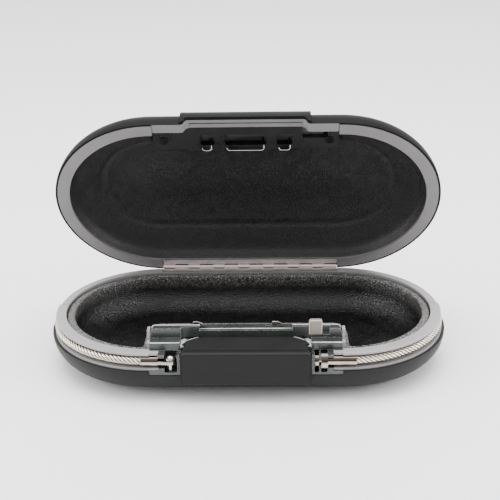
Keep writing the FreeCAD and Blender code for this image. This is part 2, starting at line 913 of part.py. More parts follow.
def make_lid_liner():
    bottom = lid_mouth + s.band + s.thin_fit
    outside = cut("lid_foam_outside", lid_half("lid_foam_fit", s.shell_wall + s.fit / 2),
                  box("lid_foam_below", -FAR, FAR, -FAR, FAR, 0.0, bottom))
    inside = lid_half("lid_foam_hollow", s.shell_wall + s.lid_foam)
    room_half = s.strike_half + s.fit * 2
    strike_room = box("lid_foam_strike_room", -room_half, room_half, -FAR,
                      -s.strike_back + s.fit, 0.0, strike_screw_top + s.fit)
    rooms = [cylinder("lid_foam_post_room", "z", s.screw_boss_radius + s.fit, strike_top,
                      s.closed_height, s.strike_screw_x * side, -s.strike_screw_y)
             for side in (-1, 1)]
    return cut("lid_liner", outside, inside, strike_room, *rooms)


# Hinge: two leaves with alternating knuckles on one pin
def knuckle_span(index):
    pitch = hinge_half * 2 / s.knuckles
    start = pitch * index - hinge_half
    return start + s.knuckle_gap / 2, start + pitch - s.knuckle_gap / 2


def make_leaf(name, low, own):
    """A leaf lies flat on its rim. Own is 0 or 1: which of the alternate knuckles it carries."""
    plate = box(name + "_plate", -hinge_half, hinge_half, rim_inner, s.hinge_y,
                low, low + s.leaf)
    barrels = []
    rooms = [cylinder(name + "_bore", "x", s.pin_radius + s.pin_play,
                      -hinge_half - s.cut_over, hinge_half + s.cut_over, s.hinge_y, hinge_z)]
    for index in range(int(values["knuckles"])):
        start, end = knuckle_span(index)
        if index % 2 == own:
            barrels.append(cylinder(name + "_knuckle", "x", s.knuckle_radius, start, end,
                                    s.hinge_y, hinge_z))
        else:
            rooms.append(cylinder(name + "_room", "x", knuckle_room, start - s.knuckle_gap,
                                  end + s.knuckle_gap, s.hinge_y, hinge_z))
    return cut(name, fuse(name + "_blank", plate, *barrels), *rooms)


def make_hinge():
    base_leaf = make_leaf("hinge_leaf_base", s.base_height - s.leaf, 1)
    lid_leaf = make_leaf("hinge_leaf_lid", lid_mouth, 0)
    pin = cylinder("hinge_pin", "x", s.pin_radius, -hinge_half, hinge_half, s.hinge_y, hinge_z)
    return base_leaf, lid_leaf, pin


# Cable: straight sides and half turns in the channel, both ends in their ferrules
def cable_run(name, radius):
    """A round bar that follows the cable from the end wall of one ferrule to that of the other."""
    left = cylinder(name + "_front_left", "x", radius, -half_straight,
                    -eye_ferrule_end - s.ferrule_end_wall, -cable_r, cable_z)
    right = cylinder(name + "_front_right", "x", radius, plug_shaft_x + s.ferrule_end_wall,
                     half_straight, -cable_r, cable_z)
    back = cylinder(name + "_back", "x", radius, -half_straight, half_straight, cable_r, cable_z)
    turns = []
    for side in (-1, 1):
        turn = doc.addObject("Part::Torus", name + "_turn")
        bind(turn, "Radius1", cable_r)
        bind(turn, "Radius2", radius)
        turn.Angle3 = 180
        turn.Placement.Rotation = FreeCAD.Rotation(Vector(0, 0, 1), -90 * side)
        bind_place(turn, half_straight * side, 0.0, cable_z)
        turns.append(turn)
    return fuse(name, left, right, back, *turns)


def make_cable():
    cable = cable_run("cable", cable_radius)
    doc.recompute()
    length = (half_straight * 4 - eye_ferrule_end - plug_shaft_x - s.ferrule_end_wall * 2
              + cable_r * (2 * math.pi))
    section = math.pi * plain(cable_radius) ** 2
    print("cable: volume %.0f mm3, section times length %.0f mm3"
          % (cable.Shape.Volume, section * plain(length)))
    return cable


def make_cable_eye():
    ferrule = cylinder("eye_ferrule", "x", s.ferrule_radius, -eye_ferrule_end - s.ferrule_length,
                       -eye_ferrule_end, -cable_r, cable_z)
    bore = cable_run("eye_bore", cable_radius + s.pin_play)
    low = cable_z - s.eye_thickness / 2
    high = cable_z + s.eye_thickness / 2
    tongue = prism("eye_tongue", "xy", [
        (-eye_ferrule_end - s.cut_over, -cable_r - s.ferrule_radius + s.eye_taper),
        (-eye_x, -cable_r - s.eye_radius),
        (-eye_x + s.eye_radius, -cable_r, s.eye_radius, -1),
        (-eye_x, -cable_r + s.eye_radius, s.eye_radius, -1),
        (-eye_ferrule_end - s.cut_over, -cable_r + s.ferrule_radius - s.eye_taper),
    ], low, high)
    hole = cylinder("eye_hole", "z", s.rivet_radius + s.pin_play, low - s.cut_over,
                    high + s.cut_over, -eye_x, -cable_r)
    return cut("cable_eye", fuse("eye_blank", ferrule, tongue), bore, hole)


def make_eye_rivet():
    high = cable_z + s.eye_thickness / 2
    shank = cylinder("rivet_shank", "z", s.rivet_radius, s.window_floor - s.rivet_root, high,
                     -eye_x, -cable_r)
    dome_radius = (s.rivet_head * s.rivet_head + s.rivet_dome * s.rivet_dome) / (s.rivet_dome * 2)
    ball = doc.addObject("Part::Sphere", "rivet_ball")
    bind(ball, "Radius", dome_radius)
    bind_place(ball, -eye_x, -cable_r, high + s.rivet_dome - dome_radius)
    keep = cylinder("rivet_head_limit", "z", s.rivet_head + s.cut_over, high,
                    high + s.rivet_dome + s.cut_over, -eye_x, -cable_r)
    return fuse("eye_rivet", shank, common("rivet_head", ball, keep))


def make_cable_plug():
    y, z = -cable_r, cable_z
    head = cylinder("plug_head", "x", s.plug_head_radius, plug_head_x, plug_neck_x, y, z)
    neck = cylinder("plug_neck", "x", s.plug_neck_radius, plug_neck_x, plug_collar_x, y, z)
    collar = cylinder("plug_collar", "x", s.collar_radius, plug_collar_x, plug_shaft_x, y, z)
    shaft = cylinder("plug_shaft", "x", s.ferrule_radius, plug_shaft_x, plug_end, y, z)
    bore = cable_run("plug_bore", cable_radius + s.pin_play)
    return cut("cable_plug", fuse("plug_blank", head, neck, collar, shaft), bore)


# Lock housing: a stepped block cast in one piece, with a chamber for the dials and the latch and
# a bay at each end for the cable
def make_lock_housing():
    profile = prism("lock_profile", "yz", [
        (-s.lock_front, s.lock_lip_z),
        (-lock_shin_y, s.lock_lip_z),
        (-s.step_one_y, s.chamber_floor),
        (-s.lock_keel_y, s.lock_floor),
        (-s.lock_back, s.lock_floor),
        (-s.lock_back, s.lock_roof),
        (-s.wall_back, s.lock_roof),
        (-s.wall_back, s.wall_top),
        (-s.wall_front, s.wall_top),
        (-s.wall_front, s.step_one_z),
        (-s.step_one_y, s.step_one_z),
        (-s.step_one_y, s.base_height - s.lock_ledge_drop),
        (-s.lock_front, s.base_height - s.lock_ledge_drop),
    ], -lock_half, lock_half)
    bezel_low = bezel_top - s.bezel
    hood_room = box("lock_hood_room", -chamber_half, chamber_half, -FAR, -s.hood_back,
                    s.chamber_floor, FAR)
    bezel_room = box("lock_bezel_room", -bezel_half, bezel_half, -FAR, -s.hood_back,
                     bezel_low, FAR)
    front_room = box("lock_front_room", -s.hood_half - s.fit, s.hood_half + s.fit, -FAR,
                     -s.step_one_y, s.lock_lip_z - s.cut_over, FAR)
    chamber = box("lock_chamber", -chamber_half, chamber_half, -s.hood_back - s.cut_over,
                  -s.lock_back + s.cut_over, s.chamber_floor, s.lock_roof - s.roof_thickness)
    recess = box("lock_recess", -s.recess_half, s.recess_half, -FAR, -s.wall_back + s.cut_over,
                 s.recess_top, FAR)
    tools = [hood_room, bezel_room, front_room, chamber, recess]
    for start in (s.left_hook_x, s.right_hook_x):
        tools.append(box("lock_hook_slot", start - s.latch_travel - s.fit,
                         start + s.hook_stem + s.fit,
                         -s.latch_front - s.fit, -s.latch_front + s.latch_thickness + s.fit,
                         s.chamber_floor, FAR))
    tools.append(box("lock_lever_slot", s.lever_x - s.fit,
                     s.lever_x + s.lever_width + s.lever_travel + s.fit,
                     -s.wall_front - s.cut_over, -s.wall_front + s.lever_thickness + s.fit,
                     s.wall_top - s.lever_root, FAR))
    y, z = -cable_r, cable_z
    for side in (-1, 1):
        outer, inner = plug_shaft_x * side, window_inner * side
        tip = rim_tip * side
        end = (lock_half + s.cut_over) * side
        tools.append(side_box("lock_window", inner, outer, -FAR, -bay_back, s.window_floor,
                              lock_ledge_z))
        tools.append(side_box("lock_gate", tip, end, -FAR, -s.step_one_y,
                              rim_bottom - s.thin_fit, s.base_height + s.cut_over))
        tools.append(side_box("lock_gallery", outer, end, -FAR, -gallery_back,
                              z - s.ferrule_radius - s.cable_play,
                              z + s.ferrule_radius + s.cable_play))
        tools.append(cylinder("lock_screw_hole", "z", s.screw_radius + s.pin_play,
                              s.lock_floor - s.cut_over, screw_end_z + s.cut_over,
                              s.base_screw_x * side, -s.base_screw_y))
    tools.append(cylinder("lock_rivet_hole", "z", s.rivet_radius + s.pin_play,
                          s.window_floor - s.rivet_root - s.thin_fit,
                          s.window_floor + s.cut_over, -eye_x, y))
    corner = s.wall_corner
    front_view = prism("lock_front_view", "xz", [
        (-lock_half, s.lock_floor),
        (lock_half, s.lock_floor),
        (lock_half, s.wall_top - corner),
        (lock_half - corner, s.wall_top, corner, -1),
        (-lock_half + corner, s.wall_top),
        (-lock_half, s.wall_top - corner, corner, -1),
    ], -s.lock_front, -s.lock_back)
    block = cut("lock_block", common("lock_blank", profile, front_view), *tools)
    seat = box("plug_seat", plug_neck_x + s.seat_play, plug_collar_x - s.seat_play,
               -s.lock_front, -bay_back, s.window_floor, lock_ledge_z)
    seat_slot = cylinder("plug_seat_slot", "x", s.seat_slot / 2, window_inner, plug_shaft_x,
                         y, z)
    seat_mouth = box("plug_seat_mouth", window_inner, plug_shaft_x, -FAR, y,
                     z - s.seat_slot / 2, z + s.seat_slot / 2)
    lugs = []
    for side in (-1, 1):
        lugs.append(side_box("latch_rest", s.latch_rest_x * side,
                             (s.latch_rest_x + s.latch_rest_width) * side,
                             -s.latch_front - s.cut_over, -s.lock_back,
                             s.chamber_floor - s.cut_over, s.latch_low - s.thin_fit))
    for x in (dials_start - s.spindle_lug - s.fit, dials_end + s.fit):
        lug_reach = s.spindle_radius * 2
        lugs.append(prism("spindle_lug", "yz", [
            (-s.step_one_y, s.chamber_floor),
            (-s.dial_axis_y + lug_reach, s.chamber_floor),
            (-s.dial_axis_y + lug_reach, s.dial_axis_z + lug_reach),
            (-s.dial_axis_y - lug_reach, s.dial_axis_z + lug_reach),
            (-s.dial_axis_y - lug_reach, s.dial_axis_z - lug_reach),
        ], x, x + s.spindle_lug))
    spindle_bore = cylinder("spindle_bore", "x", s.spindle_radius + s.pin_play,
                            spindle_start, spindle_end, -s.dial_axis_y, s.dial_axis_z)
    return cut("lock_housing",
               fuse("lock_with_lugs", block, cut("plug_fork", seat, seat_slot, seat_mouth), *lugs),
               spindle_bore, *plate_screw_holes())


def side_box(name, x0, x1, y0, y1, z0, z1):
    if plain(x0) > plain(x1):
        x0, x1 = x1, x0
    return box(name, x0, x1, y0, y1, z0, z1)


bezel_top = s.hood_top - s.hood_cap
lock_ledge_z = s.base_height - s.lock_ledge_drop
bay_back = cable_r - s.collar_radius - s.fit
gallery_back = cable_r - s.ferrule_radius - s.cable_play
bezel_half = s.hood_half + s.fit / 2
lock_shin_y = end_radius - s.shell_wall - s.lower_flange_inset
cover_axis_y = -s.hood_front + s.cover_barrel
cover_axis_z = s.chamber_floor + s.cover_barrel
dials_start = s.dial_middle_x - s.dial_pitch - s.dial_width / 2
dials_end = s.dial_middle_x + s.dial_pitch + s.dial_width / 2
spindle_start = dials_start - s.fit - s.spindle_lug + s.spindle_end_wall
spindle_end = dials_end + s.fit + s.spindle_lug - s.spindle_end_wall


def make_lock_back_plate():
    half = lock_half - s.back_plate_inset
    corner = s.bezel_corner
    blank = prism("back_plate_blank", "xz", [
        (-half, s.lock_floor + corner),
        (-half + corner, s.lock_floor, corner, -1),
        (half - corner, s.lock_floor),
        (half, s.lock_floor + corner, corner, -1),
        (half, s.lock_roof - corner),
        (half - corner, s.lock_roof, corner, -1),
        (-half + corner, s.lock_roof),
        (-half, s.lock_roof - corner, corner, -1),
    ], -s.lock_back, -s.lock_back + s.back_plate)
    return cut("lock_back_plate", blank, *plate_screw_holes())


# Hood: a plain cover in front of the dials with a flap over its face, and the light plate under it
def flap_outline(half, top):
    corner = s.cover_corner
    return [
        (-half, cover_axis_z),
        (half, cover_axis_z),
        (half, top - corner),
        (half - corner, top, corner, -1),
        (-half + corner, top),
        (-half, top - corner, corner, -1),
    ]


def make_hood():
    plan = prism("hood_plan", "xy",
                 hood_plan(s.hood_half, s.hood_front, s.hood_back, s.hood_corner),
                 s.chamber_floor - s.cut_over, s.hood_top + s.cut_over)
    face_back = -s.hood_front + s.hood_face
    profile = prism("hood_profile", "yz", [
        (-s.hood_front, s.chamber_floor),
        (face_back, s.chamber_floor),
        (face_back, bezel_top),
        (-s.hood_back, bezel_top),
        (-s.hood_back, s.hood_top),
        (-s.hood_front + s.hood_edge, s.hood_top),
        (-s.hood_front, s.hood_top - s.hood_edge, s.hood_edge, 1),
    ], -s.hood_half - s.cut_over, s.hood_half + s.cut_over)
    shoulder = s.hood_shoulder
    front_view = prism("hood_front_view", "xz", [
        (-s.hood_half, s.chamber_floor),
        (s.hood_half, s.chamber_floor),
        (s.hood_half, s.hood_top - shoulder),
        (s.hood_half - shoulder, s.hood_top, shoulder, -1),
        (-s.hood_half + shoulder, s.hood_top),
        (-s.hood_half, s.hood_top - shoulder, shoulder, -1),
    ], -s.hood_front, -s.hood_back)
    recess_half = cover_half + s.thin_fit
    recess = prism("cover_recess", "xz", flap_outline(recess_half, s.cover_top + s.thin_fit),
                   -FAR, -s.hood_front + s.cover_recess)
    barrel = cylinder("cover_barrel_room", "x", s.cover_barrel + s.fit, -recess_half, recess_half,
                      cover_axis_y, cover_axis_z)
    barrel_mouth = box("cover_barrel_mouth", -recess_half, recess_half, -FAR, cover_axis_y,
                       s.chamber_floor - s.fit, cover_axis_z)
    tools = [recess, barrel, barrel_mouth]
    half_height = s.window_half_height
    for index in (-1, 0, 1):
        middle = s.dial_middle_x + s.dial_pitch * index
        reach = s.dial_width / 2 + s.fit
        tools.append(box("dial_window", middle - reach, middle + reach, -FAR, 0.0,
                         s.dial_axis_z - half_height, s.dial_axis_z + half_height))
    button_reach = s.button_half + s.fit
    tools.append(box("button_window", s.button_x - button_reach, s.button_x + button_reach,
                     -FAR, 0.0, s.dial_axis_z - button_reach - s.button_taller,
                     s.dial_axis_z + button_reach + s.button_taller))
    for side in (-1, 1):
        start, end = cover_half * side, (cover_half + s.cover_pin_bite) * side
        if side < 0:
            start, end = end, start
        tools.append(cylinder("cover_pin_hole", "x", s.cover_pin_radius + s.pin_play, start, end,
                              cover_axis_y, cover_axis_z))
    return cut("hood", common("hood_blank", plan, profile, front_view), *tools)


def make_hood_bezel():
    corner = s.bezel_corner
    low = bezel_top - s.bezel
    front = -s.step_back + s.fit
    return prism("hood_bezel", "xy", [
        (-bezel_half, front),
        (bezel_half, front),
        (bezel_half, -s.hood_back - corner),
        (bezel_half - corner, -s.hood_back, corner, -1),
        (-bezel_half + corner, -s.hood_back),
        (-bezel_half, -s.hood_back - corner, corner, -1),
    ], low, bezel_top)


def make_dial_cover():
    flap = prism("cover_flap", "xz", flap_outline(cover_half, s.cover_top), -s.hood_front,
                 -s.hood_front + s.cover_thickness)
    barrel = cylinder("cover_barrel", "x", s.cover_barrel, -cover_half, cover_half,
                      cover_axis_y, cover_axis_z)
    bore = cylinder("cover_bore", "x", s.cover_pin_radius + s.pin_play,
                    -cover_half - s.cut_over, cover_half + s.cut_over, cover_axis_y,
                    cover_axis_z)
    return cut("dial_cover", fuse("cover_blank", flap, barrel), bore)


def make_cover_pin():
    reach = cover_half + s.cover_pin_bite - s.pin_play
    return cylinder("cover_pin", "x", s.cover_pin_radius, -reach, reach,
                    cover_axis_y, cover_axis_z)


# Dials: fluted wheels on one spindle, and the spring comb that clicks behind them
def circle_sketch(body, name, across, radius):
    drawn = body.newObject("Sketcher::SketchObject", name)
    plane = [item for item in body.Origin.OriginFeatures if item.Role == "YZ_Plane"][0]
    drawn.AttachmentSupport = [(plane, "")]
    drawn.MapMode = "FlatFace"
    drawn.addGeometry(Part.Circle(Vector(plain(across), 0, 0), Vector(0, 0, 1), plain(radius)),
                      False)
    if plain(across) == 0.0:
        drawn.addConstraint(Sketcher.Constraint("Coincident", 0, 3, -1, 1))
    else:
        drawn.addConstraint(Sketcher.Constraint("PointOnObject", 0, 3, -1))
        made = drawn.addConstraint(Sketcher.Constraint("DistanceX", -1, 1, 0, 3, plain(across)))
        drawn.setExpression("Constraints[%d]" % made, across.formula)
    made = drawn.addConstraint(Sketcher.Constraint("Radius", 0, plain(radius)))
    drawn.setExpression("Constraints[%d]" % made, radius.formula)
    return drawn


def make_dial(name, middle_x):
    body = doc.addObject("PartDesign::Body", name)
    wheel = body.newObject("PartDesign::Pad", name + "_wheel")
    wheel.Profile = circle_sketch(body, name + "_rim", Size(0.0, "0"), s.dial_radius)
    bind(wheel, "Length", s.dial_width)
    wheel.Midplane = True
    bore = body.newObject("PartDesign::Pocket", name + "_bore")
    bore.Profile = circle_sketch(body, name + "_bore_circle", Size(0.0, "0"),
                                 s.spindle_radius + s.pin_play)
    bore.Type = 1
    bore.Midplane = True
    flute = body.newObject("PartDesign::Pocket", name + "_flute")
    flute.Profile = circle_sketch(body, name + "_flute_circle",
                                  s.dial_radius + s.dial_flute_radius / 2, s.dial_flute_radius)
    flute.Type = 1
    flute.Midplane = True
    doc.recompute()
    flutes = body.newObject("PartDesign::PolarPattern", name + "_flutes")
    flutes.Originals = [flute]
    axis = [item for item in body.Origin.OriginFeatures if item.Role == "X_Axis"][0]
    flutes.Axis = (axis, [""])
    flutes.Angle = 360
    bind(flutes, "Occurrences", s.dial_flutes)
    body.Tip = flutes
    bind_place(body, middle_x, -s.dial_axis_y, s.dial_axis_z)
    return body


def make_dials():
    names = ("dial_left", "dial_middle", "dial_right")
    return [make_dial(name, s.dial_middle_x + s.dial_pitch * (index - 1))
            for index, name in enumerate(names)]


def make_spindle():
    return cylinder("dial_spindle", "x", s.spindle_radius,
                    spindle_start + s.thin_fit, spindle_end - s.thin_fit,
                    -s.dial_axis_y, s.dial_axis_z)


def make_detent():
    finger_front = -s.dial_axis_y + s.dial_radius + s.fit
    finger_back = finger_front + s.detent_thickness
    foot = box("detent_foot", dials_start, dials_end, finger_front, finger_front + s.detent_foot,
               s.chamber_floor, s.chamber_floor + s.detent_thickness)
    fingers = []
    for index in (-1, 0, 1):
        middle = s.dial_middle_x + s.dial_pitch * index
        fingers.append(box("detent_finger", middle - s.detent_finger / 2,
                           middle + s.detent_finger / 2, finger_front, finger_back,
                           s.chamber_floor, s.dial_axis_z + s.detent_finger / 2))
    return fuse("dial_detent", foot, *fingers)


# Latch: the button's sloping end pushes the slide to the left, and the spring brings both back
slope = s.button_travel / s.latch_travel


def make_open_button():
    face = -s.hood_front + s.cover_thickness + s.fit
    half = s.button_half
    tall = s.button_half + s.button_taller
    head = box("button_head", s.button_x - half, s.button_x + half, face, -s.button_back,
               s.dial_axis_z - tall, s.dial_axis_z + tall)
    left = s.button_x - s.button_stem
    right = s.button_x + s.button_stem
    stem = prism("button_stem", "xy", [
        (left, -s.button_back - s.cut_over),
        (right, -s.button_back - s.cut_over),
        (right, wedge_y + slope * s.button_stem * 2),
        (left, wedge_y),
    ], s.button_stem_low, s.button_stem_high)
    return fuse("open_button", head, stem)


wedge_y = -s.latch_front - s.button_travel - s.fit - slope * s.button_stem * 2


def make_latch_slide():
    front = -s.latch_front
    back = front + s.latch_thickness
    roof = s.lock_roof - s.roof_thickness - s.fit
    plate = box("latch_plate", s.left_hook_x, s.latch_right, front, back, s.latch_low, roof)
    shoe_plate = box("latch_shoe_plate", s.latch_shoe_x, s.latch_right, front, back,
                     s.latch_shoe_low, s.latch_low)
    left = s.button_x - s.button_stem
    face_y = wedge_y + s.fit
    shoe_tip = left + s.fit * 2
    shoe = prism("latch_shoe", "xy", [
        (s.latch_shoe_x, front),
        (s.latch_shoe_x, face_y + slope * (s.fit * 2)),
        (shoe_tip, face_y + slope * (s.fit * 2)),
        (left + (front - face_y) / slope, front),
    ], s.latch_shoe_low, s.latch_low)
    tab = box("latch_spring_tab", s.spring_tab_x, s.spring_tab_x + s.latch_thickness, front, back,
              spring_z - s.spring_radius - s.spring_wire, s.latch_low)
    parts = [plate, shoe_plate, shoe, tab]
    for start in (s.left_hook_x, s.right_hook_x):
        parts.append(prism("latch_hook", "xz", [
            (start, roof),
            (start + s.hook_stem, roof),
            (start + s.hook_stem, s.hook_under),
            (start + s.hook_stem + s.hook_reach, s.hook_under),
            (start + s.hook_stem, s.hook_under + s.hook_head),
            (start, s.hook_under + s.hook_head),
        ], front, back))
    return fuse("latch_slide", *parts)


spring_z = s.latch_low - s.spring_radius - s.spring_wire
spring_y = -s.latch_front + s.latch_thickness / 2


def make_latch_spring():
    """One unbroken coil. Its axis runs along X, between the chamber wall and the slide's tab."""
    start = -chamber_half + s.spring_wire / 2 + s.pin_play
    length = s.spring_tab_x - s.spring_wire / 2 - s.pin_play - start
    coil = doc.addObject("Part::Helix", "spring_line")
    bind(coil, "Pitch", length / s.spring_turns)
    bind(coil, "Height", length)
    bind(coil, "Radius", s.spring_radius)
    wire = doc.addObject("Part::Circle", "spring_wire_section")
    bind(wire, "Radius", s.spring_wire / 2)
    wire.Placement.Rotation = FreeCAD.Rotation(Vector(1, 0, 0), 90)
    bind(wire, "Placement.Base.x", s.spring_radius)
    body = doc.addObject("Part::Sweep", "latch_spring")
    body.Sections = [wire]
    body.Spine = (coil, [])
    body.Solid = True
    body.Frenet = True
    body.Placement.Rotation = FreeCAD.Rotation(Vector(0, 1, 0), 90)
    bind_place(body, start, spring_y, spring_z)
    gap = plain(length) / values["spring_turns"] - values["spring_wire"]
    print("latch spring: least gap between turns %.2f mm" % gap)
    return body


def make_reset_lever():
    corner = s.lever_corner
    right = s.lever_x + s.lever_width
    top = s.wall_top + s.lever_rise
    front = -s.wall_front - s.lever_proud
    return prism("reset_lever", "xz", [
        (s.lever_x, s.wall_top - s.lever_root + s.pin_play),
        (right, s.wall_top - s.lever_root + s.pin_play),
        (right, top - corner),
        (right - corner, top, corner, -1),
        (s.lever_x + corner, top),
        (s.lever_x, top - corner, corner, -1),
    ], front, front + s.lever_thickness)


def plate_screw_places():
    inset = lock_half - s.plate_screw_inset
    return [(x, z) for x in (-inset, inset)
            for z in (s.lock_floor + s.plate_screw_rise, s.lock_roof - s.plate_screw_rise)]


def plate_screw_holes():
    return [cylinder("plate_screw_hole", "y", s.plate_screw + s.pin_play,
                     -s.lock_back - s.plate_screw_length,
                     -s.lock_back + s.back_plate + s.cut_over, x, z)
            for x, z in plate_screw_places()]


def make_back_plate_screws():
    screws = []
    face = -s.lock_back + s.back_plate
    for x, z in plate_screw_places():
        head = cylinder("plate_screw_head", "y", s.plate_screw_head, face,
                        face + s.plate_screw_cap, x, z)
        shank = cylinder("plate_screw_shank", "y", s.plate_screw,
                         -s.lock_back - s.plate_screw_length + s.pin_play, face, x, z)
        screws.append(fuse("plate_screw", head, shank))
    return group("back_plate_screws", *screws)


# Bodies: what stays with the base, and what turns with the lid about the hinge pin
base_leaf, lid_leaf, hinge_pin = make_hinge()
base_pieces = [make_base_shell(), make_base_screws(), *make_front_rims(), make_rear_rim(),
               make_base_liner(), base_leaf, hinge_pin, make_cable(), make_cable_eye(),
               make_eye_rivet(), make_cable_plug(),
               make_lock_housing(), make_lock_back_plate(), make_back_plate_screws(),
               make_hood(), make_hood_bezel(),
               make_dial_cover(), make_cover_pin(), *make_dials(), make_spindle(), make_detent(),
               make_open_button(), make_latch_slide(), make_latch_spring(), make_reset_lever()]
lid_pieces = [make_lid_shell(), make_lid_rim(), make_lid_liner(), lid_leaf, make_strike_plate(),
              make_strike_bracket(), make_strike_screws()]

hinge_centre = Vector(0, plain(s.hinge_y), plain(hinge_z))
opened = FreeCAD.Rotation(Vector(1, 0, 0), -values["lid_open_angle"])
for piece in lid_pieces:
    piece.Placement = FreeCAD.Placement(Vector(), opened, hinge_centre)

doc.recompute()
failed = [item.Label for item in doc.Objects if "Invalid" in item.State or "Error" in item.State]
if failed:
    raise RuntimeError("did not build: " + ", ".join(failed))

os.makedirs("parts", exist_ok=True)
for piece in base_pieces + lid_pieces:
    if piece.Shape.isNull() or not piece.Shape.isValid():
        raise RuntimeError("not a valid solid: " + piece.Label)
    piece.Shape.exportStep("parts/%s.step" % piece.Label)
    print("%-20s %2d solid %10.1f mm3" % (piece.Label, len(piece.Shape.Solids), piece.Shape.Volume))
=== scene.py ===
# Travel safe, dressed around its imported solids. Metres, +Z up, the photograph's camera.
import bmesh
import bpy
import json
import math
import numpy as np
from mathutils import Matrix, Vector

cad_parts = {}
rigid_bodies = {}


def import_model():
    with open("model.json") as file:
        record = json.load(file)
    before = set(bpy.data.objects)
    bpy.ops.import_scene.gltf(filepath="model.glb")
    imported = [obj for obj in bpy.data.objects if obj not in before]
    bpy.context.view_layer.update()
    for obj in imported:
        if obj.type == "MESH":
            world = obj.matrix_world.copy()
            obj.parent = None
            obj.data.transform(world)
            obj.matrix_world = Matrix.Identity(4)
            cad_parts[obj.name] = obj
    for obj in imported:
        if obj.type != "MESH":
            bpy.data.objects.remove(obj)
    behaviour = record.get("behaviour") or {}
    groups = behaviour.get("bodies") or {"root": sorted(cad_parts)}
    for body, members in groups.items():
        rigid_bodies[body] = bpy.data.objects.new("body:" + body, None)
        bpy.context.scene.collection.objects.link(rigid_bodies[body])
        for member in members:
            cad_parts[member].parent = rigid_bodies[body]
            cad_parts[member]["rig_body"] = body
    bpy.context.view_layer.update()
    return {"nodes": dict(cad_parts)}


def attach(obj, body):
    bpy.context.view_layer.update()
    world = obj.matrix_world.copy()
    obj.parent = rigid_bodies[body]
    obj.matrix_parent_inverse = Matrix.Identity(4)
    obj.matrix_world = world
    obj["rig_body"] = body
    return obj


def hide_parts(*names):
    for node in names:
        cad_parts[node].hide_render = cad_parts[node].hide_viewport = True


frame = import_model()
nodes = frame["nodes"]
mm = 0.001


# Camera, found by fitting the base's outline and the lid's rim to the photograph
camera = {
    "focalPixels": 1026.7,
    "imageSide": 500.0,
    "sensor": 36.0,
    "place": (0.0163, -0.5759, 0.3024),
    "yaw": -1.44,
    "pitch": 22.16,
    "roll": -0.93,
}


def buildCamera():
    data = bpy.data.cameras.new("photoCamera")
    data.sensor_width = camera["sensor"]
    data.lens = camera["focalPixels"] * camera["sensor"] / camera["imageSide"]
    yaw, pitch, roll = (math.radians(camera[key]) for key in ("yaw", "pitch", "roll"))
    forward = Vector((math.sin(yaw) * math.cos(pitch), math.cos(yaw) * math.cos(pitch), -math.sin(pitch)))
    right = Vector((math.cos(yaw), -math.sin(yaw), 0.0))
    up = right.cross(forward)
    turnedRight = right * math.cos(roll) + up * math.sin(roll)
    turnedUp = up * math.cos(roll) - right * math.sin(roll)
    holder = bpy.data.objects.new("photoCamera", data)
    rotation = Matrix((turnedRight, turnedUp, -forward)).transposed().to_4x4()
    holder.matrix_world = Matrix.Translation(camera["place"]) @ rotation
    bpy.context.scene.collection.objects.link(holder)
    bpy.context.scene.camera = holder


# Studio: a white table that fades into a white surround, soft lamps above and at both sides
studio = {
    "tableRadius": 6.0,
    "tableColour": (0.93, 0.93, 0.935, 1.0),
    "surroundColour": (1.0, 1.0, 1.0, 1.0),
    "frontStrength": 0.25,
    "backStrength": 2.4,
    "brightWay": (0.0, 0.55, 0.83),
    "lamps": [
        {"name": "overhead", "place": (0.0, 0.05, 1.3), "aim": (0.0, 0.0, 0.03), "size": (1.2, 0.9), "watts": 26.0},
        {"name": "leftPanel", "place": (-1.1, -0.25, 0.45), "aim": (0.0, 0.0, 0.06), "size": (0.6, 0.7), "watts": 9.0},
        {"name": "rightPanel", "place": (1.1, -0.25, 0.45), "aim": (0.0, 0.0, 0.06), "size": (0.6, 0.7), "watts": 9.0},
    ],
}


def buildStudio():
    world = bpy.data.worlds.new("studioSurround")
    bpy.context.scene.world = world
    world.use_nodes = True
    background = world.node_tree.nodes["Background"]
    background.inputs["Color"].default_value = studio["surroundColour"]
    # Brightest above and behind the object, dim on the camera's side
    tree = world.node_tree
    direction = tree.nodes.new("ShaderNodeTexCoord")
    toward = tree.nodes.new("ShaderNodeVectorMath")
    toward.operation = "DOT_PRODUCT"
    toward.inputs[1].default_value = studio["brightWay"]
    ramp = tree.nodes.new("ShaderNodeMapRange")
    ramp.inputs["From Min"].default_value = -0.5
    ramp.inputs["From Max"].default_value = 0.8
    ramp.inputs["To Min"].default_value = studio["frontStrength"]
    ramp.inputs["To Max"].default_value = studio["backStrength"]
    tree.links.new(direction.outputs["Generated"], toward.inputs[0])
    tree.links.new(toward.outputs["Value"], ramp.inputs["Value"])
    tree.links.new(ramp.outputs["Result"], background.inputs["Strength"])
    for lamp in studio["lamps"]:
        data = bpy.data.lights.new(lamp["name"], "AREA")
        data.shape = "RECTANGLE"
        data.size, data.size_y = lamp["size"]
        data.energy = lamp["watts"]
        holder = bpy.data.objects.new(lamp["name"], data)
        holder.location = lamp["place"]
        aim = Vector(lamp["aim"]) - Vector(lamp["place"])
        holder.rotation_euler = aim.to_track_quat("-Z", "Y").to_euler()
        bpy.context.scene.collection.objects.link(holder)
    reach = studio["tableRadius"]
    corners = [(-reach, -reach, 0.0), (reach, -reach, 0.0), (reach, reach, 0.0), (-reach, reach, 0.0)]
    mesh = bpy.data.meshes.new("table")
    mesh.from_pydata(corners, [], [(0, 1, 2, 3)])
    table = bpy.data.objects.new("table", mesh)
    bpy.context.scene.collection.objects.link(table)
    paint = bpy.data.materials.new("tablePaint")
    paint.use_nodes = True
    shader = paint.node_tree.nodes["Principled BSDF"]
    shader.inputs["Base Color"].default_value = studio["tableColour"]
    shader.inputs["Roughness"].default_value = 0.6
    table.data.materials.append(paint)


buildCamera()
buildStudio()
print("camera, table and lamps in place")


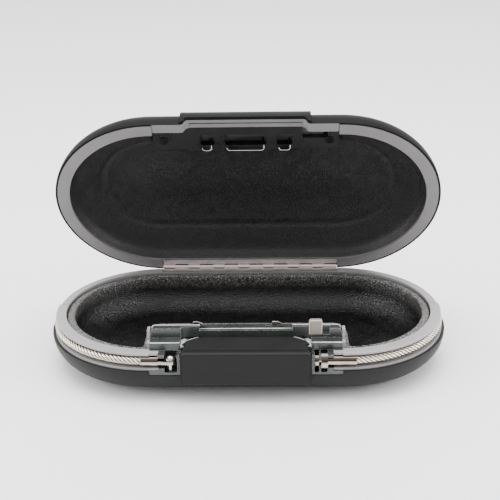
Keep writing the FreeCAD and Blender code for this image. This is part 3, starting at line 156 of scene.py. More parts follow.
# Shader groups shared by the finishes
def newGroup(name, inputs, outputs):
    group = bpy.data.node_groups.new(name, "ShaderNodeTree")
    for label, kind, value in inputs:
        socket = group.interface.new_socket(label, in_out="INPUT", socket_type=kind)
        socket.default_value = value
    for label, kind in outputs:
        group.interface.new_socket(label, in_out="OUTPUT", socket_type=kind)
    return group, group.nodes.new("NodeGroupInput"), group.nodes.new("NodeGroupOutput")


def buildGrainGroup():
    # Height of a moulded skin: fine noise laid over a larger, softer unevenness
    group, start, end = newGroup("mouldedGrain", [
        ("Fine Scale", "NodeSocketFloat", 1500.0),
        ("Broad Scale", "NodeSocketFloat", 60.0),
        ("Broad Share", "NodeSocketFloat", 0.3),
    ], [("Height", "NodeSocketFloat"), ("Mottle", "NodeSocketFloat")])
    link = group.links.new
    place = group.nodes.new("ShaderNodeTexCoord")
    fine = group.nodes.new("ShaderNodeTexNoise")
    fine.inputs["Detail"].default_value = 3.0
    broad = group.nodes.new("ShaderNodeTexNoise")
    broad.inputs["Detail"].default_value = 4.0
    link(place.outputs["Object"], fine.inputs["Vector"])
    link(place.outputs["Object"], broad.inputs["Vector"])
    link(start.outputs["Fine Scale"], fine.inputs["Scale"])
    link(start.outputs["Broad Scale"], broad.inputs["Scale"])
    mix = group.nodes.new("ShaderNodeMix")
    link(start.outputs["Broad Share"], mix.inputs["Factor"])
    link(fine.outputs["Fac"], mix.inputs["A"])
    link(broad.outputs["Fac"], mix.inputs["B"])
    link(mix.outputs["Result"], end.inputs["Height"])
    link(broad.outputs["Fac"], end.inputs["Mottle"])
    return group


def buildPebbleGroup():
    # Height of pebbled lining: rounded cells with creases between them, and a mask of the creases
    group, start, end = newGroup("pebbledSkin", [
        ("Cell Scale", "NodeSocketFloat", 900.0),
        ("Unevenness", "NodeSocketFloat", 0.35),
    ], [("Height", "NodeSocketFloat"), ("Crease", "NodeSocketFloat"), ("Mottle", "NodeSocketFloat")])
    link = group.links.new
    place = group.nodes.new("ShaderNodeTexCoord")
    warp = group.nodes.new("ShaderNodeTexNoise")
    warp.inputs["Scale"].default_value = 220.0
    warp.inputs["Detail"].default_value = 2.0
    cells = group.nodes.new("ShaderNodeTexVoronoi")
    cells.feature = "DISTANCE_TO_EDGE"
    link(place.outputs["Object"], warp.inputs["Vector"])
    link(place.outputs["Object"], cells.inputs["Vector"])
    link(start.outputs["Cell Scale"], cells.inputs["Scale"])
    crease = group.nodes.new("ShaderNodeMapRange")
    crease.inputs["From Max"].default_value = 0.50
    link(cells.outputs["Distance"], crease.inputs["Value"])
    mix = group.nodes.new("ShaderNodeMix")
    link(start.outputs["Unevenness"], mix.inputs["Factor"])
    link(crease.outputs["Result"], mix.inputs["A"])
    link(warp.outputs["Fac"], mix.inputs["B"])
    link(mix.outputs["Result"], end.inputs["Height"])
    link(crease.outputs["Result"], end.inputs["Crease"])
    link(warp.outputs["Fac"], end.inputs["Mottle"])
    return group


def buildBrushGroup():
    # Fine scratches that run along X, and a soft tarnish
    group, start, end = newGroup("brushedSteel", [
        ("Line Scale", "NodeSocketFloat", 2500.0),
    ], [("Height", "NodeSocketFloat"), ("Tarnish", "NodeSocketFloat")])
    link = group.links.new
    place = group.nodes.new("ShaderNodeTexCoord")
    stretch = group.nodes.new("ShaderNodeMapping")
    stretch.inputs["Scale"].default_value = (0.04, 1.0, 1.0)
    lines = group.nodes.new("ShaderNodeTexNoise")
    tarnish = group.nodes.new("ShaderNodeTexNoise")
    tarnish.inputs["Scale"].default_value = 140.0
    link(place.outputs["Object"], stretch.inputs["Vector"])
    link(stretch.outputs["Vector"], lines.inputs["Vector"])
    link(place.outputs["Object"], tarnish.inputs["Vector"])
    link(start.outputs["Line Scale"], lines.inputs["Scale"])
    link(lines.outputs["Fac"], end.inputs["Height"])
    link(tarnish.outputs["Fac"], end.inputs["Tarnish"])
    return group


grainGroup = buildGrainGroup()
pebbleGroup = buildPebbleGroup()
brushGroup = buildBrushGroup()

finishes = {
    "shell": {"kind": "plastic", "light": (0.015, 0.015, 0.0155), "dark": (0.010, 0.010, 0.0105),
              "rough": (0.40, 0.50), "fine": 1400.0, "bump": 0.10, "depth": 0.00004, "specular": 0.13},
    # The lid's shell, the same plastic as the base's, painted darker: painted shade
    "shadedLidShell": {"kind": "plastic", "light": (0.0075, 0.0075, 0.0078), "dark": (0.0050, 0.0050, 0.0052),
                 "rough": (0.40, 0.50), "fine": 1400.0, "bump": 0.10, "depth": 0.00004, "specular": 0.05},
    "rim": {"kind": "plastic", "light": (0.315, 0.296, 0.300), "dark": (0.24, 0.226, 0.230),
            "rough": (0.34, 0.44), "fine": 1800.0, "bump": 0.08, "depth": 0.00003, "specular": 0.6},
    # The lid's rim, the same plastic as the base's rims, painted darker: painted shade
    "shadedLidRim": {"kind": "plastic", "light": (0.175, 0.166, 0.172), "dark": (0.135, 0.128, 0.132),
               "rough": (0.34, 0.44), "fine": 1800.0, "bump": 0.08, "depth": 0.00003, "specular": 0.4},
    "hood": {"kind": "plastic", "light": (0.013, 0.013, 0.013), "dark": (0.010, 0.010, 0.010),
             "rough": (0.44, 0.54), "fine": 1600.0, "bump": 0.08, "depth": 0.00003, "specular": 0.12},
    "housing": {"kind": "plastic", "light": (0.052, 0.060, 0.058), "dark": (0.019, 0.023, 0.022),
                "rough": (0.20, 0.36), "fine": 420.0, "bump": 0.16, "depth": 0.00006, "metal": 0.30,
                "specular": 0.7},
    # Pale colour for rounded edges and edge lines: a painted highlight
    "edgeHighlight": {"kind": "plastic", "light": (0.74, 0.72, 0.69), "dark": (0.52, 0.51, 0.49),
                 "rough": (0.24, 0.34), "fine": 900.0, "bump": 0.05, "depth": 0.00003, "metal": 0.3,
                 "specular": 0.6},
    "bezel": {"kind": "plastic", "light": (0.060, 0.069, 0.067), "dark": (0.030, 0.036, 0.035),
              "rough": (0.26, 0.38), "fine": 900.0, "bump": 0.08, "depth": 0.00003, "specular": 0.5,
              "ends": (0.42, 0.45, 0.41), "endsFrom": 0.0335, "endsTo": 0.0352},
    "piping": {"kind": "plastic", "light": (0.42, 0.43, 0.42), "dark": (0.34, 0.35, 0.34),
               "rough": (0.28, 0.38), "fine": 1500.0, "bump": 0.05, "depth": 0.00003, "specular": 0.5},
    # Pale colour for the lever's rounded edges: a painted highlight
    "leverEdgeHighlight": {"kind": "plastic", "light": (0.52, 0.47, 0.41), "dark": (0.46, 0.41, 0.36),
                  "rough": (0.30, 0.38), "fine": 1500.0, "bump": 0.05, "depth": 0.00003, "specular": 0.5},
    "lever": {"kind": "plastic", "light": (0.225, 0.190, 0.162), "dark": (0.19, 0.160, 0.138),
              "rough": (0.34, 0.42), "fine": 1500.0, "bump": 0.05, "depth": 0.00003, "specular": 0.5},
    "backing": {"kind": "plastic", "light": (0.085, 0.083, 0.080), "dark": (0.065, 0.063, 0.061),
                "rough": (0.34, 0.44), "fine": 900.0, "bump": 0.10, "depth": 0.00003, "specular": 0.5},
    "strike": {"kind": "plastic", "light": (0.017, 0.017, 0.017), "dark": (0.012, 0.012, 0.012),
               "rough": (0.24, 0.34), "fine": 900.0, "bump": 0.10, "depth": 0.00003, "specular": 0.5},
    # Base lining: its edge colour paints it paler towards its lit top, a painted highlight, and its cavity is kept
    # near black, painted shade
    "baseFoam": {"kind": "pebble", "light": (0.0050, 0.0049, 0.0047), "dark": (0.0018, 0.0018, 0.0018),
                 "edge": (0.330, 0.322, 0.312), "edgeFrom": 0.0195, "edgeTo": 0.0278, "turn": 0.0,
                 "rough": (0.30, 0.50), "cells": 650.0, "bump": 1.0, "depth": 0.00040},
    # Lid lining: its edge colour paints it paler towards its outer ring, a painted highlight
    "lidFoam": {"kind": "pebble", "light": (0.0215, 0.0208, 0.0202), "dark": (0.0060, 0.0060, 0.0060),
                "edge": (0.040, 0.039, 0.037), "edgeFrom": 0.0385, "edgeTo": 0.0325, "turn": 63.7,
                "contour": 0.0462, "contourHalf": 0.0013, "contourDepth": 1.6,
                "rough": (0.34, 0.52), "cells": 900.0, "bump": 0.8, "depth": 0.00030},
    "hingeSteel": {"kind": "steel", "light": (0.74, 0.69, 0.68), "dark": (0.58, 0.54, 0.53),
                   "rough": (0.30, 0.42)},
    "cableSteel": {"kind": "steel", "light": (0.78, 0.72, 0.63), "dark": (0.56, 0.50, 0.42),
                   "rough": (0.16, 0.28)},
    # Ferrule steel: its upper half is painted darker than its lower half, a painted reflection
    "plugSteel": {"kind": "steel", "light": (0.50, 0.44, 0.37), "dark": (0.33, 0.29, 0.24),
                  "rough": (0.10, 0.18), "upper": (0.095, 0.080, 0.062), "upperFrom": 0.0249,
                  "upperTo": 0.0260},
    "zincSteel": {"kind": "steel", "light": (0.60, 0.58, 0.55), "dark": (0.46, 0.44, 0.42),
                  "rough": (0.20, 0.32)},
    # Zinc-plated steel painted much darker, for the strike bracket and its screws: painted shade
    "shadedZincSteel": {"kind": "steel", "light": (0.060, 0.059, 0.058), "dark": (0.035, 0.034, 0.034),
                  "rough": (0.28, 0.40)},
}


def mixColours(tree, mask, dark, light):
    mix = tree.nodes.new("ShaderNodeMix")
    mix.data_type = "RGBA"
    mix.inputs["A"].default_value = (*dark, 1.0)
    mix.inputs["B"].default_value = (*light, 1.0)
    tree.links.new(mask, mix.inputs["Factor"])
    return mix.outputs["Result"]


def spread(tree, mask, low, high):
    node = tree.nodes.new("ShaderNodeMapRange")
    node.inputs["From Min"].default_value = 0.3
    node.inputs["From Max"].default_value = 0.7
    node.inputs["To Min"].default_value = low
    node.inputs["To Max"].default_value = high
    tree.links.new(mask, node.inputs["Value"])
    return node.outputs["Result"]


hingeLine = {"y": 0.0628, "z": 0.0302, "openAngle": 63.7}


def heightAbove(tree, turn):
    # Height over the table in metres, with the open lid's pieces turned back to shut
    place = tree.nodes.new("ShaderNodeTexCoord")
    shut = tree.nodes.new("ShaderNodeMapping")
    angle = math.radians(turn)
    y, z = hingeLine["y"], hingeLine["z"]
    shut.inputs["Rotation"].default_value = (angle, 0.0, 0.0)
    shut.inputs["Location"].default_value = (
        0.0,
        y - (y * math.cos(angle) - z * math.sin(angle)),
        z - (y * math.sin(angle) + z * math.cos(angle)),
    )
    parts = tree.nodes.new("ShaderNodeSeparateXYZ")
    tree.links.new(place.outputs["Object"], shut.inputs["Vector"])
    tree.links.new(shut.outputs["Vector"], parts.inputs["Vector"])
    return parts.outputs["Z"]


def carveContour(tree, height, finish, skin):
    # A shallow line pressed round the lining at one height, taken off the skin's own relief
    away = tree.nodes.new("ShaderNodeMath")
    away.operation = "SUBTRACT"
    away.inputs[1].default_value = finish["contour"]
    tree.links.new(height, away.inputs[0])
    far = tree.nodes.new("ShaderNodeMath")
    far.operation = "ABSOLUTE"
    tree.links.new(away.outputs["Value"], far.inputs[0])
    ease = tree.nodes.new("ShaderNodeMapRange")
    ease.interpolation_type = "SMOOTHSTEP"
    ease.inputs["From Max"].default_value = finish["contourHalf"]
    ease.inputs["To Min"].default_value = -finish["contourDepth"]
    ease.inputs["To Max"].default_value = 0.0
    tree.links.new(far.outputs["Value"], ease.inputs["Value"])
    total = tree.nodes.new("ShaderNodeMath")
    tree.links.new(ease.outputs["Result"], total.inputs[0])
    tree.links.new(skin, total.inputs[1])
    return total.outputs["Value"]


def distanceAcross(tree):
    # Distance to either side of the middle
    place = tree.nodes.new("ShaderNodeTexCoord")
    parts = tree.nodes.new("ShaderNodeSeparateXYZ")
    away = tree.nodes.new("ShaderNodeMath")
    away.operation = "ABSOLUTE"
    tree.links.new(place.outputs["Object"], parts.inputs["Vector"])
    tree.links.new(parts.outputs["X"], away.inputs[0])
    return away.outputs["Value"]


def paintOver(tree, measure, finish, key, colour):
    # Another colour that comes in as a measure runs from one value to another
    share = tree.nodes.new("ShaderNodeMapRange")
    share.inputs["From Min"].default_value = finish[key + "From"]
    share.inputs["From Max"].default_value = finish[key + "To"]
    over = tree.nodes.new("ShaderNodeMix")
    over.data_type = "RGBA"
    over.inputs["B"].default_value = (*finish[key], 1.0)
    tree.links.new(measure, share.inputs["Value"])
    tree.links.new(share.outputs["Result"], over.inputs["Factor"])
    tree.links.new(colour, over.inputs["A"])
    return over.outputs["Result"]


def buildFinish(name):
    finish = finishes[name]
    material = bpy.data.materials.new(name)
    material.use_nodes = True
    tree = material.node_tree
    shader = tree.nodes["Principled BSDF"]
    pattern = tree.nodes.new("ShaderNodeGroup")
    bump = tree.nodes.new("ShaderNodeBump")
    if finish["kind"] == "pebble":
        pattern.node_tree = pebbleGroup
        pattern.inputs["Cell Scale"].default_value = finish["cells"]
        mottle = pattern.outputs["Mottle"]
        bump.inputs["Strength"].default_value = finish["bump"]
        bump.inputs["Distance"].default_value = finish["depth"]
        # The pebbling's creases are painted darker than its crowns: painted shade in the creases over the skin's own
        # tone
        skin = mixColours(tree, pattern.outputs["Crease"], finish["dark"], finish["light"])
        height = heightAbove(tree, finish["turn"])
        # Painted highlight: paler pebble crowns towards the lit top of the base lining and the outer ring of the lid
        # lining
        paler = tree.nodes.new("ShaderNodeMapRange")
        paler.inputs["From Min"].default_value = finish["edgeFrom"]
        paler.inputs["From Max"].default_value = finish["edgeTo"]
        tree.links.new(height, paler.inputs["Value"])
        highlight = tree.nodes.new("ShaderNodeMath")
        highlight.operation = "MULTIPLY"
        tree.links.new(paler.outputs["Result"], highlight.inputs[0])
        tree.links.new(pattern.outputs["Crease"], highlight.inputs[1])
        edge = tree.nodes.new("ShaderNodeMix")
        edge.data_type = "RGBA"
        edge.inputs["B"].default_value = (*finish["edge"], 1.0)
        tree.links.new(highlight.outputs["Value"], edge.inputs["Factor"])
        tree.links.new(skin, edge.inputs["A"])
        tree.links.new(edge.outputs["Result"], shader.inputs["Base Color"])
        if "contour" in finish:
            carved = carveContour(tree, height, finish, pattern.outputs["Height"])
            tree.links.new(carved, bump.inputs["Height"])
    elif finish["kind"] == "steel":
        pattern.node_tree = brushGroup
        mottle = pattern.outputs["Tarnish"]
        bump.inputs["Strength"].default_value = 0.15
        bump.inputs["Distance"].default_value = 0.00002
        shader.inputs["Metallic"].default_value = 1.0
        colour = mixColours(tree, mottle, finish["dark"], finish["light"])
        # Painted reflection: the upper part turns to a darker colour
        if "upper" in finish:
            colour = paintOver(tree, heightAbove(tree, 0.0), finish, "upper", colour)
        tree.links.new(colour, shader.inputs["Base Color"])
    else:
        pattern.node_tree = grainGroup
        pattern.inputs["Fine Scale"].default_value = finish["fine"]
        mottle = pattern.outputs["Mottle"]
        bump.inputs["Strength"].default_value = finish["bump"]
        bump.inputs["Distance"].default_value = finish["depth"]
        shader.inputs["Metallic"].default_value = finish.get("metal", 0.0)
        colour = mixColours(tree, mottle, finish["dark"], finish["light"])
        if "ends" in finish:
            colour = paintOver(tree, distanceAcross(tree), finish, "ends", colour)
        tree.links.new(colour, shader.inputs["Base Color"])
    shader.inputs["Specular IOR Level"].default_value = finish.get("specular", 0.5)
    tree.links.new(spread(tree, mottle, *finish["rough"]), shader.inputs["Roughness"])
    if not bump.inputs["Height"].is_linked:
        tree.links.new(pattern.outputs["Height"], bump.inputs["Height"])
    tree.links.new(bump.outputs["Normal"], shader.inputs["Normal"])
    return material


materials = {name: buildFinish(name) for name in finishes}
print("finishes mixed:", len(materials))


# Dressed copies: each solid merged, its real edges rounded a little, then shaded smooth
edges = {
    "sharpAngle": 28.0,
    "roundSteps": 3,
}

# Rounded edges of these solids get a pale painted highlight, a finish of their own
edgeFinish = {"lock_housing": "edgeHighlight", "lock_back_plate": "edgeHighlight", "reset_lever": "leverEdgeHighlight"}

# node: (finish, width of the rounded edge in mm, record slot)
dressing = {
    "base_shell": ("shell", 0.0, "shell"),
    "lid_shell": ("shadedLidShell", 0.0, "shell"),
    "front_rim_left": ("rim", 0.0, "rim"),
    "front_rim_right": ("rim", 0.0, "rim"),
    "rear_rim": ("rim", 0.0, "rim"),
    "lid_rim": ("shadedLidRim", 0.0, "rim"),
    "lock_housing": ("housing", 0.40, "housing"),
    "lock_back_plate": ("housing", 0.20, "housing"),
    "hood": ("hood", 0.20, "hood"),
    "dial_cover": ("hood", 0.12, "hood"),
    "hood_bezel": ("bezel", 0.25, "light_trim"),
    "reset_lever": ("lever", 0.35, "lever"),
    "strike_plate": ("strike", 0.25, "strike"),
    "dial_left": ("strike", 0.15, "dial"),
    "dial_middle": ("strike", 0.15, "dial"),
    "dial_right": ("strike", 0.15, "dial"),
    "open_button": ("strike", 0.25, "button"),
    "hinge_leaf_base": ("hingeSteel", 0.0, "hinge_steel"),
    "hinge_leaf_lid": ("hingeSteel", 0.0, "hinge_steel"),
    "hinge_pin": ("hingeSteel", 0.0, "hinge_steel"),
    "cable_eye": ("plugSteel", 0.25, "cable_steel"),
    "eye_rivet": ("zincSteel", 0.10, "cable_steel"),
    "cable_plug": ("plugSteel", 0.30, "cable_steel"),
    "strike_bracket": ("shadedZincSteel", 0.25, "zinc_steel"),
    "latch_slide": ("zincSteel", 0.20, "zinc_steel"),
    "dial_detent": ("zincSteel", 0.10, "zinc_steel"),
    "dial_spindle": ("zincSteel", 0.10, "zinc_steel"),
    "cover_pin": ("zincSteel", 0.05, "zinc_steel"),
    "latch_spring": ("zincSteel", 0.0, "zinc_steel"),
    "base_screws": ("zincSteel", 0.15, "zinc_steel"),
    "strike_screws": ("shadedZincSteel", 0.15, "zinc_steel"),
    "back_plate_screws": ("zincSteel", 0.15, "zinc_steel"),
}


def bodyOf(node):
    return nodes[node]["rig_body"]


def mergedCopy(node, flat):
    # The solid's loose triangles joined into one skin, with flat faces made whole where asked
    skin = bmesh.new()
    skin.from_mesh(nodes[node].data)
    bmesh.ops.remove_doubles(skin, verts=skin.verts, dist=0.000002)
    if flat:
        bmesh.ops.dissolve_limit(skin, angle_limit=math.radians(0.05), verts=skin.verts,
                                 edges=skin.edges)
    return skin


def markEdges(mesh):
    skin = bmesh.new()
    skin.from_mesh(mesh)
    sharp = math.radians(edges["sharpAngle"])
    for edge in skin.edges:
        edge.smooth = len(edge.link_faces) == 2 and edge.calc_face_angle(0.0) < sharp
    for face in skin.faces:
        face.smooth = True
    skin.to_mesh(mesh)
    skin.free()


def dress(node, finish, width):
    skin = mergedCopy(node, width > 0.0)
    mesh = bpy.data.meshes.new(node + ".dressed")
    skin.to_mesh(mesh)
    skin.free()
    markEdges(mesh)
    piece = bpy.data.objects.new(node + ".dressed", mesh)
    bpy.context.scene.collection.objects.link(piece)
    if width > 0.0:
        rounding = piece.modifiers.new("roundedEdges", "BEVEL")
        rounding.width = width * mm
        rounding.segments = edges["roundSteps"]
        rounding.limit_method = "ANGLE"
        rounding.angle_limit = math.radians(edges["sharpAngle"])
        rounding.harden_normals = True
        rounding.use_clamp_overlap = True
    else:
        weighted = piece.modifiers.new("evenNormals", "WEIGHTED_NORMAL")
        weighted.keep_sharp = True
    piece.data.materials.append(materials[finish])
    if node in edgeFinish:
        piece.data.materials.append(materials[edgeFinish[node]])
        rounding.material = 1
    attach(piece, bodyOf(node))
    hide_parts(node)
    return piece


for node, (finish, width, slot) in dressing.items():
    dress(node, finish, width)
print("solids dressed:", len(dressing))


# Foam linings: moulded foam with softened edges, under a pebbled skin
lining = {"voxel": 0.0011, "smoothing": 6, "share": 0.5, "drawnIn": 0.00025}


def buildLining(node, finish):
    skin = bmesh.new()
    skin.from_mesh(nodes[node].data)
    bmesh.ops.remove_doubles(skin, verts=skin.verts, dist=0.000002)
    mesh = bpy.data.meshes.new(node + ".foam")
    skin.to_mesh(mesh)
    skin.free()
    piece = bpy.data.objects.new(node + ".foam", mesh)
    bpy.context.scene.collection.objects.link(piece)
    remesh = piece.modifiers.new("foamSkin", "REMESH")
    remesh.mode = "VOXEL"
    remesh.voxel_size = lining["voxel"]
    remesh.use_smooth_shade = True
    soften = piece.modifiers.new("softEdges", "SMOOTH")
    soften.factor = lining["share"]
    soften.iterations = lining["smoothing"]
    shrink = piece.modifiers.new("drawnIn", "DISPLACE")
    shrink.mid_level = 0.0
    shrink.strength = -lining["drawnIn"]
    piece.data.materials.append(materials[finish])
    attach(piece, bodyOf(node))
    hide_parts(node)
    return piece


buildLining("base_liner", "baseFoam")
buildLining("lid_liner", "lidFoam")
print("foam linings made")


# Cable: strands laid round a core, following the channel from ferrule to ferrule
cable = {
    "halfStraight": 56.3 * mm,
    "turnRadius": 60.6 * mm,
    "height": 24.9 * mm,
    "leftEnd": -51.0 * mm,
    "rightEnd": 47.2 * mm,
    "strands": 6,
    "strandRadius": 0.80 * mm,
    "layRadius": 1.60 * mm,
    "layLength": 15.6 * mm,
    "rings": 900,
    "sides": 14,
    "wire": (0.86, 0.76, 0.62),
    # Dark colour for the strands' grooves: painted shade
    "grooveShade": (0.010, 0.008, 0.006),
}


def cablePath(count):
    # Points, outward directions and travelled lengths along the oblong, from the left ferrule
    # round the left end, the back and the right end to the right ferrule
    half, radius = cable["halfStraight"], cable["turnRadius"]
    runs = [half + cable["leftEnd"], math.pi * radius, 2.0 * half, math.pi * radius, half - cable["rightEnd"]]
    marks = np.cumsum([0.0] + runs)
    way = np.linspace(0.0, marks[-1], count)
    point = np.zeros((count, 3))
    outward = np.zeros((count, 3))
    point[:, 2] = cable["height"]
    on = way < marks[1]
    point[on, 0] = cable["leftEnd"] - way[on]
    point[on, 1] = -radius
    outward[on, 1] = -1.0
    for first, centre, begin in ((1, -half, -math.pi / 2), (3, half, math.pi / 2)):
        on = (way >= marks[first]) & (way < marks[first + 1])
        angle = begin - (way[on] - marks[first]) / radius
        point[on, 0] = centre + radius * np.cos(angle)
        point[on, 1] = radius * np.sin(angle)
        outward[on, 0] = np.cos(angle)
        outward[on, 1] = np.sin(angle)
    on = (way >= marks[2]) & (way < marks[3])
    point[on, 0] = -half + (way[on] - marks[2])
    point[on, 1] = radius
    outward[on, 1] = 1.0
    on = way >= marks[4]
    point[on, 0] = half - (way[on] - marks[4])
    point[on, 1] = -radius
    outward[on, 1] = -1.0
    return point, outward, way


def tubeAlong(centre, radius, sides, level=(0.0, 0.0, 1.0)):
    # A closed tube round a line of points: a circle at each point, square to the line.
    # The line never runs along the direction given as level.
    count = len(centre)
    along = np.gradient(centre, axis=0)
    along /= np.linalg.norm(along, axis=1)[:, None]
    side = np.cross(np.array(level), along)
    side /= np.linalg.norm(side, axis=1)[:, None]
    rise = np.cross(along, side)
    angle = np.linspace(0.0, 2.0 * np.pi, sides, endpoint=False)
    ring = side[:, None] * np.cos(angle)[None, :, None] + rise[:, None] * np.sin(angle)[None, :, None]
    verts = (centre[:, None] + radius * ring).reshape(-1, 3)
    row = np.arange(count - 1)[:, None] * sides
    here = np.arange(sides)[None, :]
    after = (here + 1) % sides
    faces = np.stack([row + here, row + after, row + sides + after, row + sides + here], axis=-1)
    return verts, faces.reshape(-1, 4), [np.arange(sides)[::-1], (count - 1) * sides + np.arange(sides)]


def meshFrom(name, verts, faces, caps):
    mesh = bpy.data.meshes.new(name)
    allFaces = [tuple(map(int, face)) for face in faces] + [tuple(map(int, cap)) for cap in caps]
    mesh.from_pydata(verts.tolist(), [], allFaces)
    mesh.shade_smooth()
    piece = bpy.data.objects.new(name, mesh)
    bpy.context.scene.collection.objects.link(piece)
    return piece


def buildStrandFinish():
    # Bright wire on the crowns of the strands and painted shade in their grooves, under a clear sleeve
    material = bpy.data.materials.new("strandWire")
    material.use_nodes = True
    tree = material.node_tree
    shader = tree.nodes["Principled BSDF"]
    crown = tree.nodes.new("ShaderNodeAttribute")
    crown.attribute_name = "crown"
    colour = mixColours(tree, crown.outputs["Fac"], cable["grooveShade"], cable["wire"])
    tree.links.new(colour, shader.inputs["Base Color"])
    shader.inputs["Metallic"].default_value = 0.85
    shader.inputs["Roughness"].default_value = 0.22
    shader.inputs["Coat Weight"].default_value = 0.5
    shader.inputs["Coat Roughness"].default_value = 0.12
    return material


def buildCable():
    point, outward, way = cablePath(cable["rings"])
    up = np.array([0.0, 0.0, 1.0])
    core = tubeAlong(point, cable["layRadius"] - cable["strandRadius"] * 0.5, cable["sides"])
    parts = [core]
    for index in range(cable["strands"]):
        turn = 2.0 * np.pi * (way / cable["layLength"] + index / cable["strands"])
        centre = point + cable["layRadius"] * (np.cos(turn)[:, None] * outward + np.sin(turn)[:, None] * up)
        parts.append(tubeAlong(centre, cable["strandRadius"], cable["sides"]))
    verts, faces, caps = [], [], []
    offset = 0
    for partVerts, partFaces, partCaps in parts:
        verts.append(partVerts)
        faces.append(partFaces + offset)
        caps.extend(cap + offset for cap in partCaps)
        offset += len(partVerts)
    allVerts = np.concatenate(verts)
    piece = meshFrom("cable.strands", allVerts, np.concatenate(faces), caps)
    # How far out from the cable's own line each point lies: 0 in the grooves, 1 on the crowns
    axis = np.tile(np.repeat(point, cable["sides"], axis=0), (cable["strands"] + 1, 1))
    reach = np.linalg.norm(allVerts - axis, axis=1)
    inner, outer = cable["layRadius"] + 0.48 * mm, cable["layRadius"] + cable["strandRadius"] * 0.97
    crown = piece.data.attributes.new("crown", "FLOAT", "POINT")
    crown.data.foreach_set("value", np.clip((reach - inner) / (outer - inner), 0.0, 1.0))
    piece.data.materials.append(buildStrandFinish())
    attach(piece, "base")
    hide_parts("cable")


buildCable()
print("cable laid")

# Strike bracket: a pale tube of painted highlight along the edge of each lip, which faces down when the lid is up, in
# mm
lipEdge = {
    "spans": [(-26.6, -21.0), (-11.7, 10.7), (19.8, 26.5)],
    "root": -37.95,
    "leftTip": -40.2,
    "rightTip": -42.1,
    "corner": 1.8,
    "height": 36.74,
    "radius": 0.24,
    "steps": 8,
}


def opened(points):
    # Points of the shut lid, in millimetres, turned up to where the lid stands, in metres
    points = np.asarray(points, dtype=float) * mm
    angle = math.radians(hingeLine["openAngle"])
    y = points[:, 1] - hingeLine["y"]
    z = points[:, 2] - hingeLine["z"]
    turned = points.copy()
    turned[:, 1] = hingeLine["y"] + y * math.cos(angle) + z * math.sin(angle)
    turned[:, 2] = hingeLine["z"] - y * math.sin(angle) + z * math.cos(angle)
    return turned


def openedDirection(way):
    return tuple(opened([way])[0] - opened([(0, 0, 0)])[0])


def buildLipEdges():
    verts, faces, caps = [], [], []
    offset = 0
    corner, root = lipEdge["corner"], lipEdge["root"]
    steps = np.linspace(0.0, math.pi / 2.0, lipEdge["steps"])
    for left, right in lipEdge["spans"]:
        line = [(left, lipEdge["leftTip"])]
        line += [(left + corner - corner * math.cos(a), root - corner + corner * math.sin(a)) for a in steps]
        line += [(right - corner + corner * math.sin(a), root - corner + corner * math.cos(a)) for a in steps]
        line.append((right, lipEdge["rightTip"]))
        path = opened([(x, y, lipEdge["height"]) for x, y in line])
        partVerts, partFaces, partCaps = tubeAlong(path, lipEdge["radius"] * mm, 10, openedDirection((0, 0, 1)))
        verts.append(partVerts)
        faces.append(partFaces + offset)
        caps.extend(cap + offset for cap in partCaps)
        offset += len(partVerts)
    piece = meshFrom("strike.edgeHighlights", np.concatenate(verts), np.concatenate(faces), caps)
    piece.data.materials.append(materials["edgeHighlight"])
    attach(piece, "lid")


# Lid strip: the dark seam along the arch's underside, in mm
stripSeam = {"half": 33.2, "depth": -61.4, "height": 34.92, "radius": 0.26}


def buildStripSeam():
    half = stripSeam["half"]
    across = np.linspace(-half, half, 12)
    path = opened([(x, stripSeam["depth"], stripSeam["height"]) for x in across])
    verts, faces, caps = tubeAlong(path, stripSeam["radius"] * mm, 8, openedDirection((0, 0, 1)))
    piece = meshFrom("lid.seam", verts, faces, caps)
    piece.data.materials.append(materials["strike"])
    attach(piece, "lid")


# Backing behind the strike plate's openings, on the floor of the lining's pocket, in mm
backing = {"across": (-55.5, 55.5), "depth": (-54.0, -35.5), "height": (45.8, 47.9)}


def buildBacking():
    corners = [(x, y, z) for x in backing["across"] for y in backing["depth"] for z in backing["height"]]
    skin = bmesh.new()
    verts = [skin.verts.new(tuple(corner)) for corner in opened(corners)]
    for face in ((0, 1, 3, 2), (4, 6, 7, 5), (0, 4, 5, 1), (2, 3, 7, 6), (0, 2, 6, 4), (1, 5, 7, 3)):
        skin.faces.new([verts[index] for index in face])
    bmesh.ops.recalc_face_normals(skin, faces=skin.faces)
    mesh = bpy.data.meshes.new("strike.backing")
    skin.to_mesh(mesh)
    skin.free()
    piece = bpy.data.objects.new("strike.backing", mesh)
    bpy.context.scene.collection.objects.link(piece)
    piece.data.materials.append(materials["backing"])
    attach(piece, "lid")


# Hinge: a dark line of painted shade under each of the lid's knuckles, where the base's leaf begins, in mm
hingeShadeLines = {"first": -54.23, "pitch": 16.685, "count": 7, "half": 3.4, "depth": 60.64, "height": 30.08,
              "radius": 0.20}


def buildHingeShadeLines():
    verts, faces, caps = [], [], []
    offset = 0
    for index in range(hingeShadeLines["count"]):
        middle = hingeShadeLines["first"] + index * hingeShadeLines["pitch"]
        across = np.linspace(middle - hingeShadeLines["half"], middle + hingeShadeLines["half"], 4)
        path = np.array([(x, hingeShadeLines["depth"], hingeShadeLines["height"]) for x in across]) * mm
        partVerts, partFaces, partCaps = tubeAlong(path, hingeShadeLines["radius"] * mm, 8)
        verts.append(partVerts)
        faces.append(partFaces + offset)
        caps.extend(cap + offset for cap in partCaps)
        offset += len(partVerts)
    piece = meshFrom("hinge.shadeLines", np.concatenate(verts), np.concatenate(faces), caps)
    piece.data.materials.append(materials["strike"])
    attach(piece, "base")


buildLipEdges()
buildStripSeam()
buildBacking()
buildHingeShadeLines()


# Hood shoulders: behind the lid's front strip the hood's top runs out to its full width
shoulders = {
    "half": 37.1,
    "cornerCentre": (23.1, -62.7),
    "corner": 14.0,
    "front": -57.95,
    "inner": 30.0,
    "low": 32.9,
    "high": 33.98,
    "steps": 16,
}


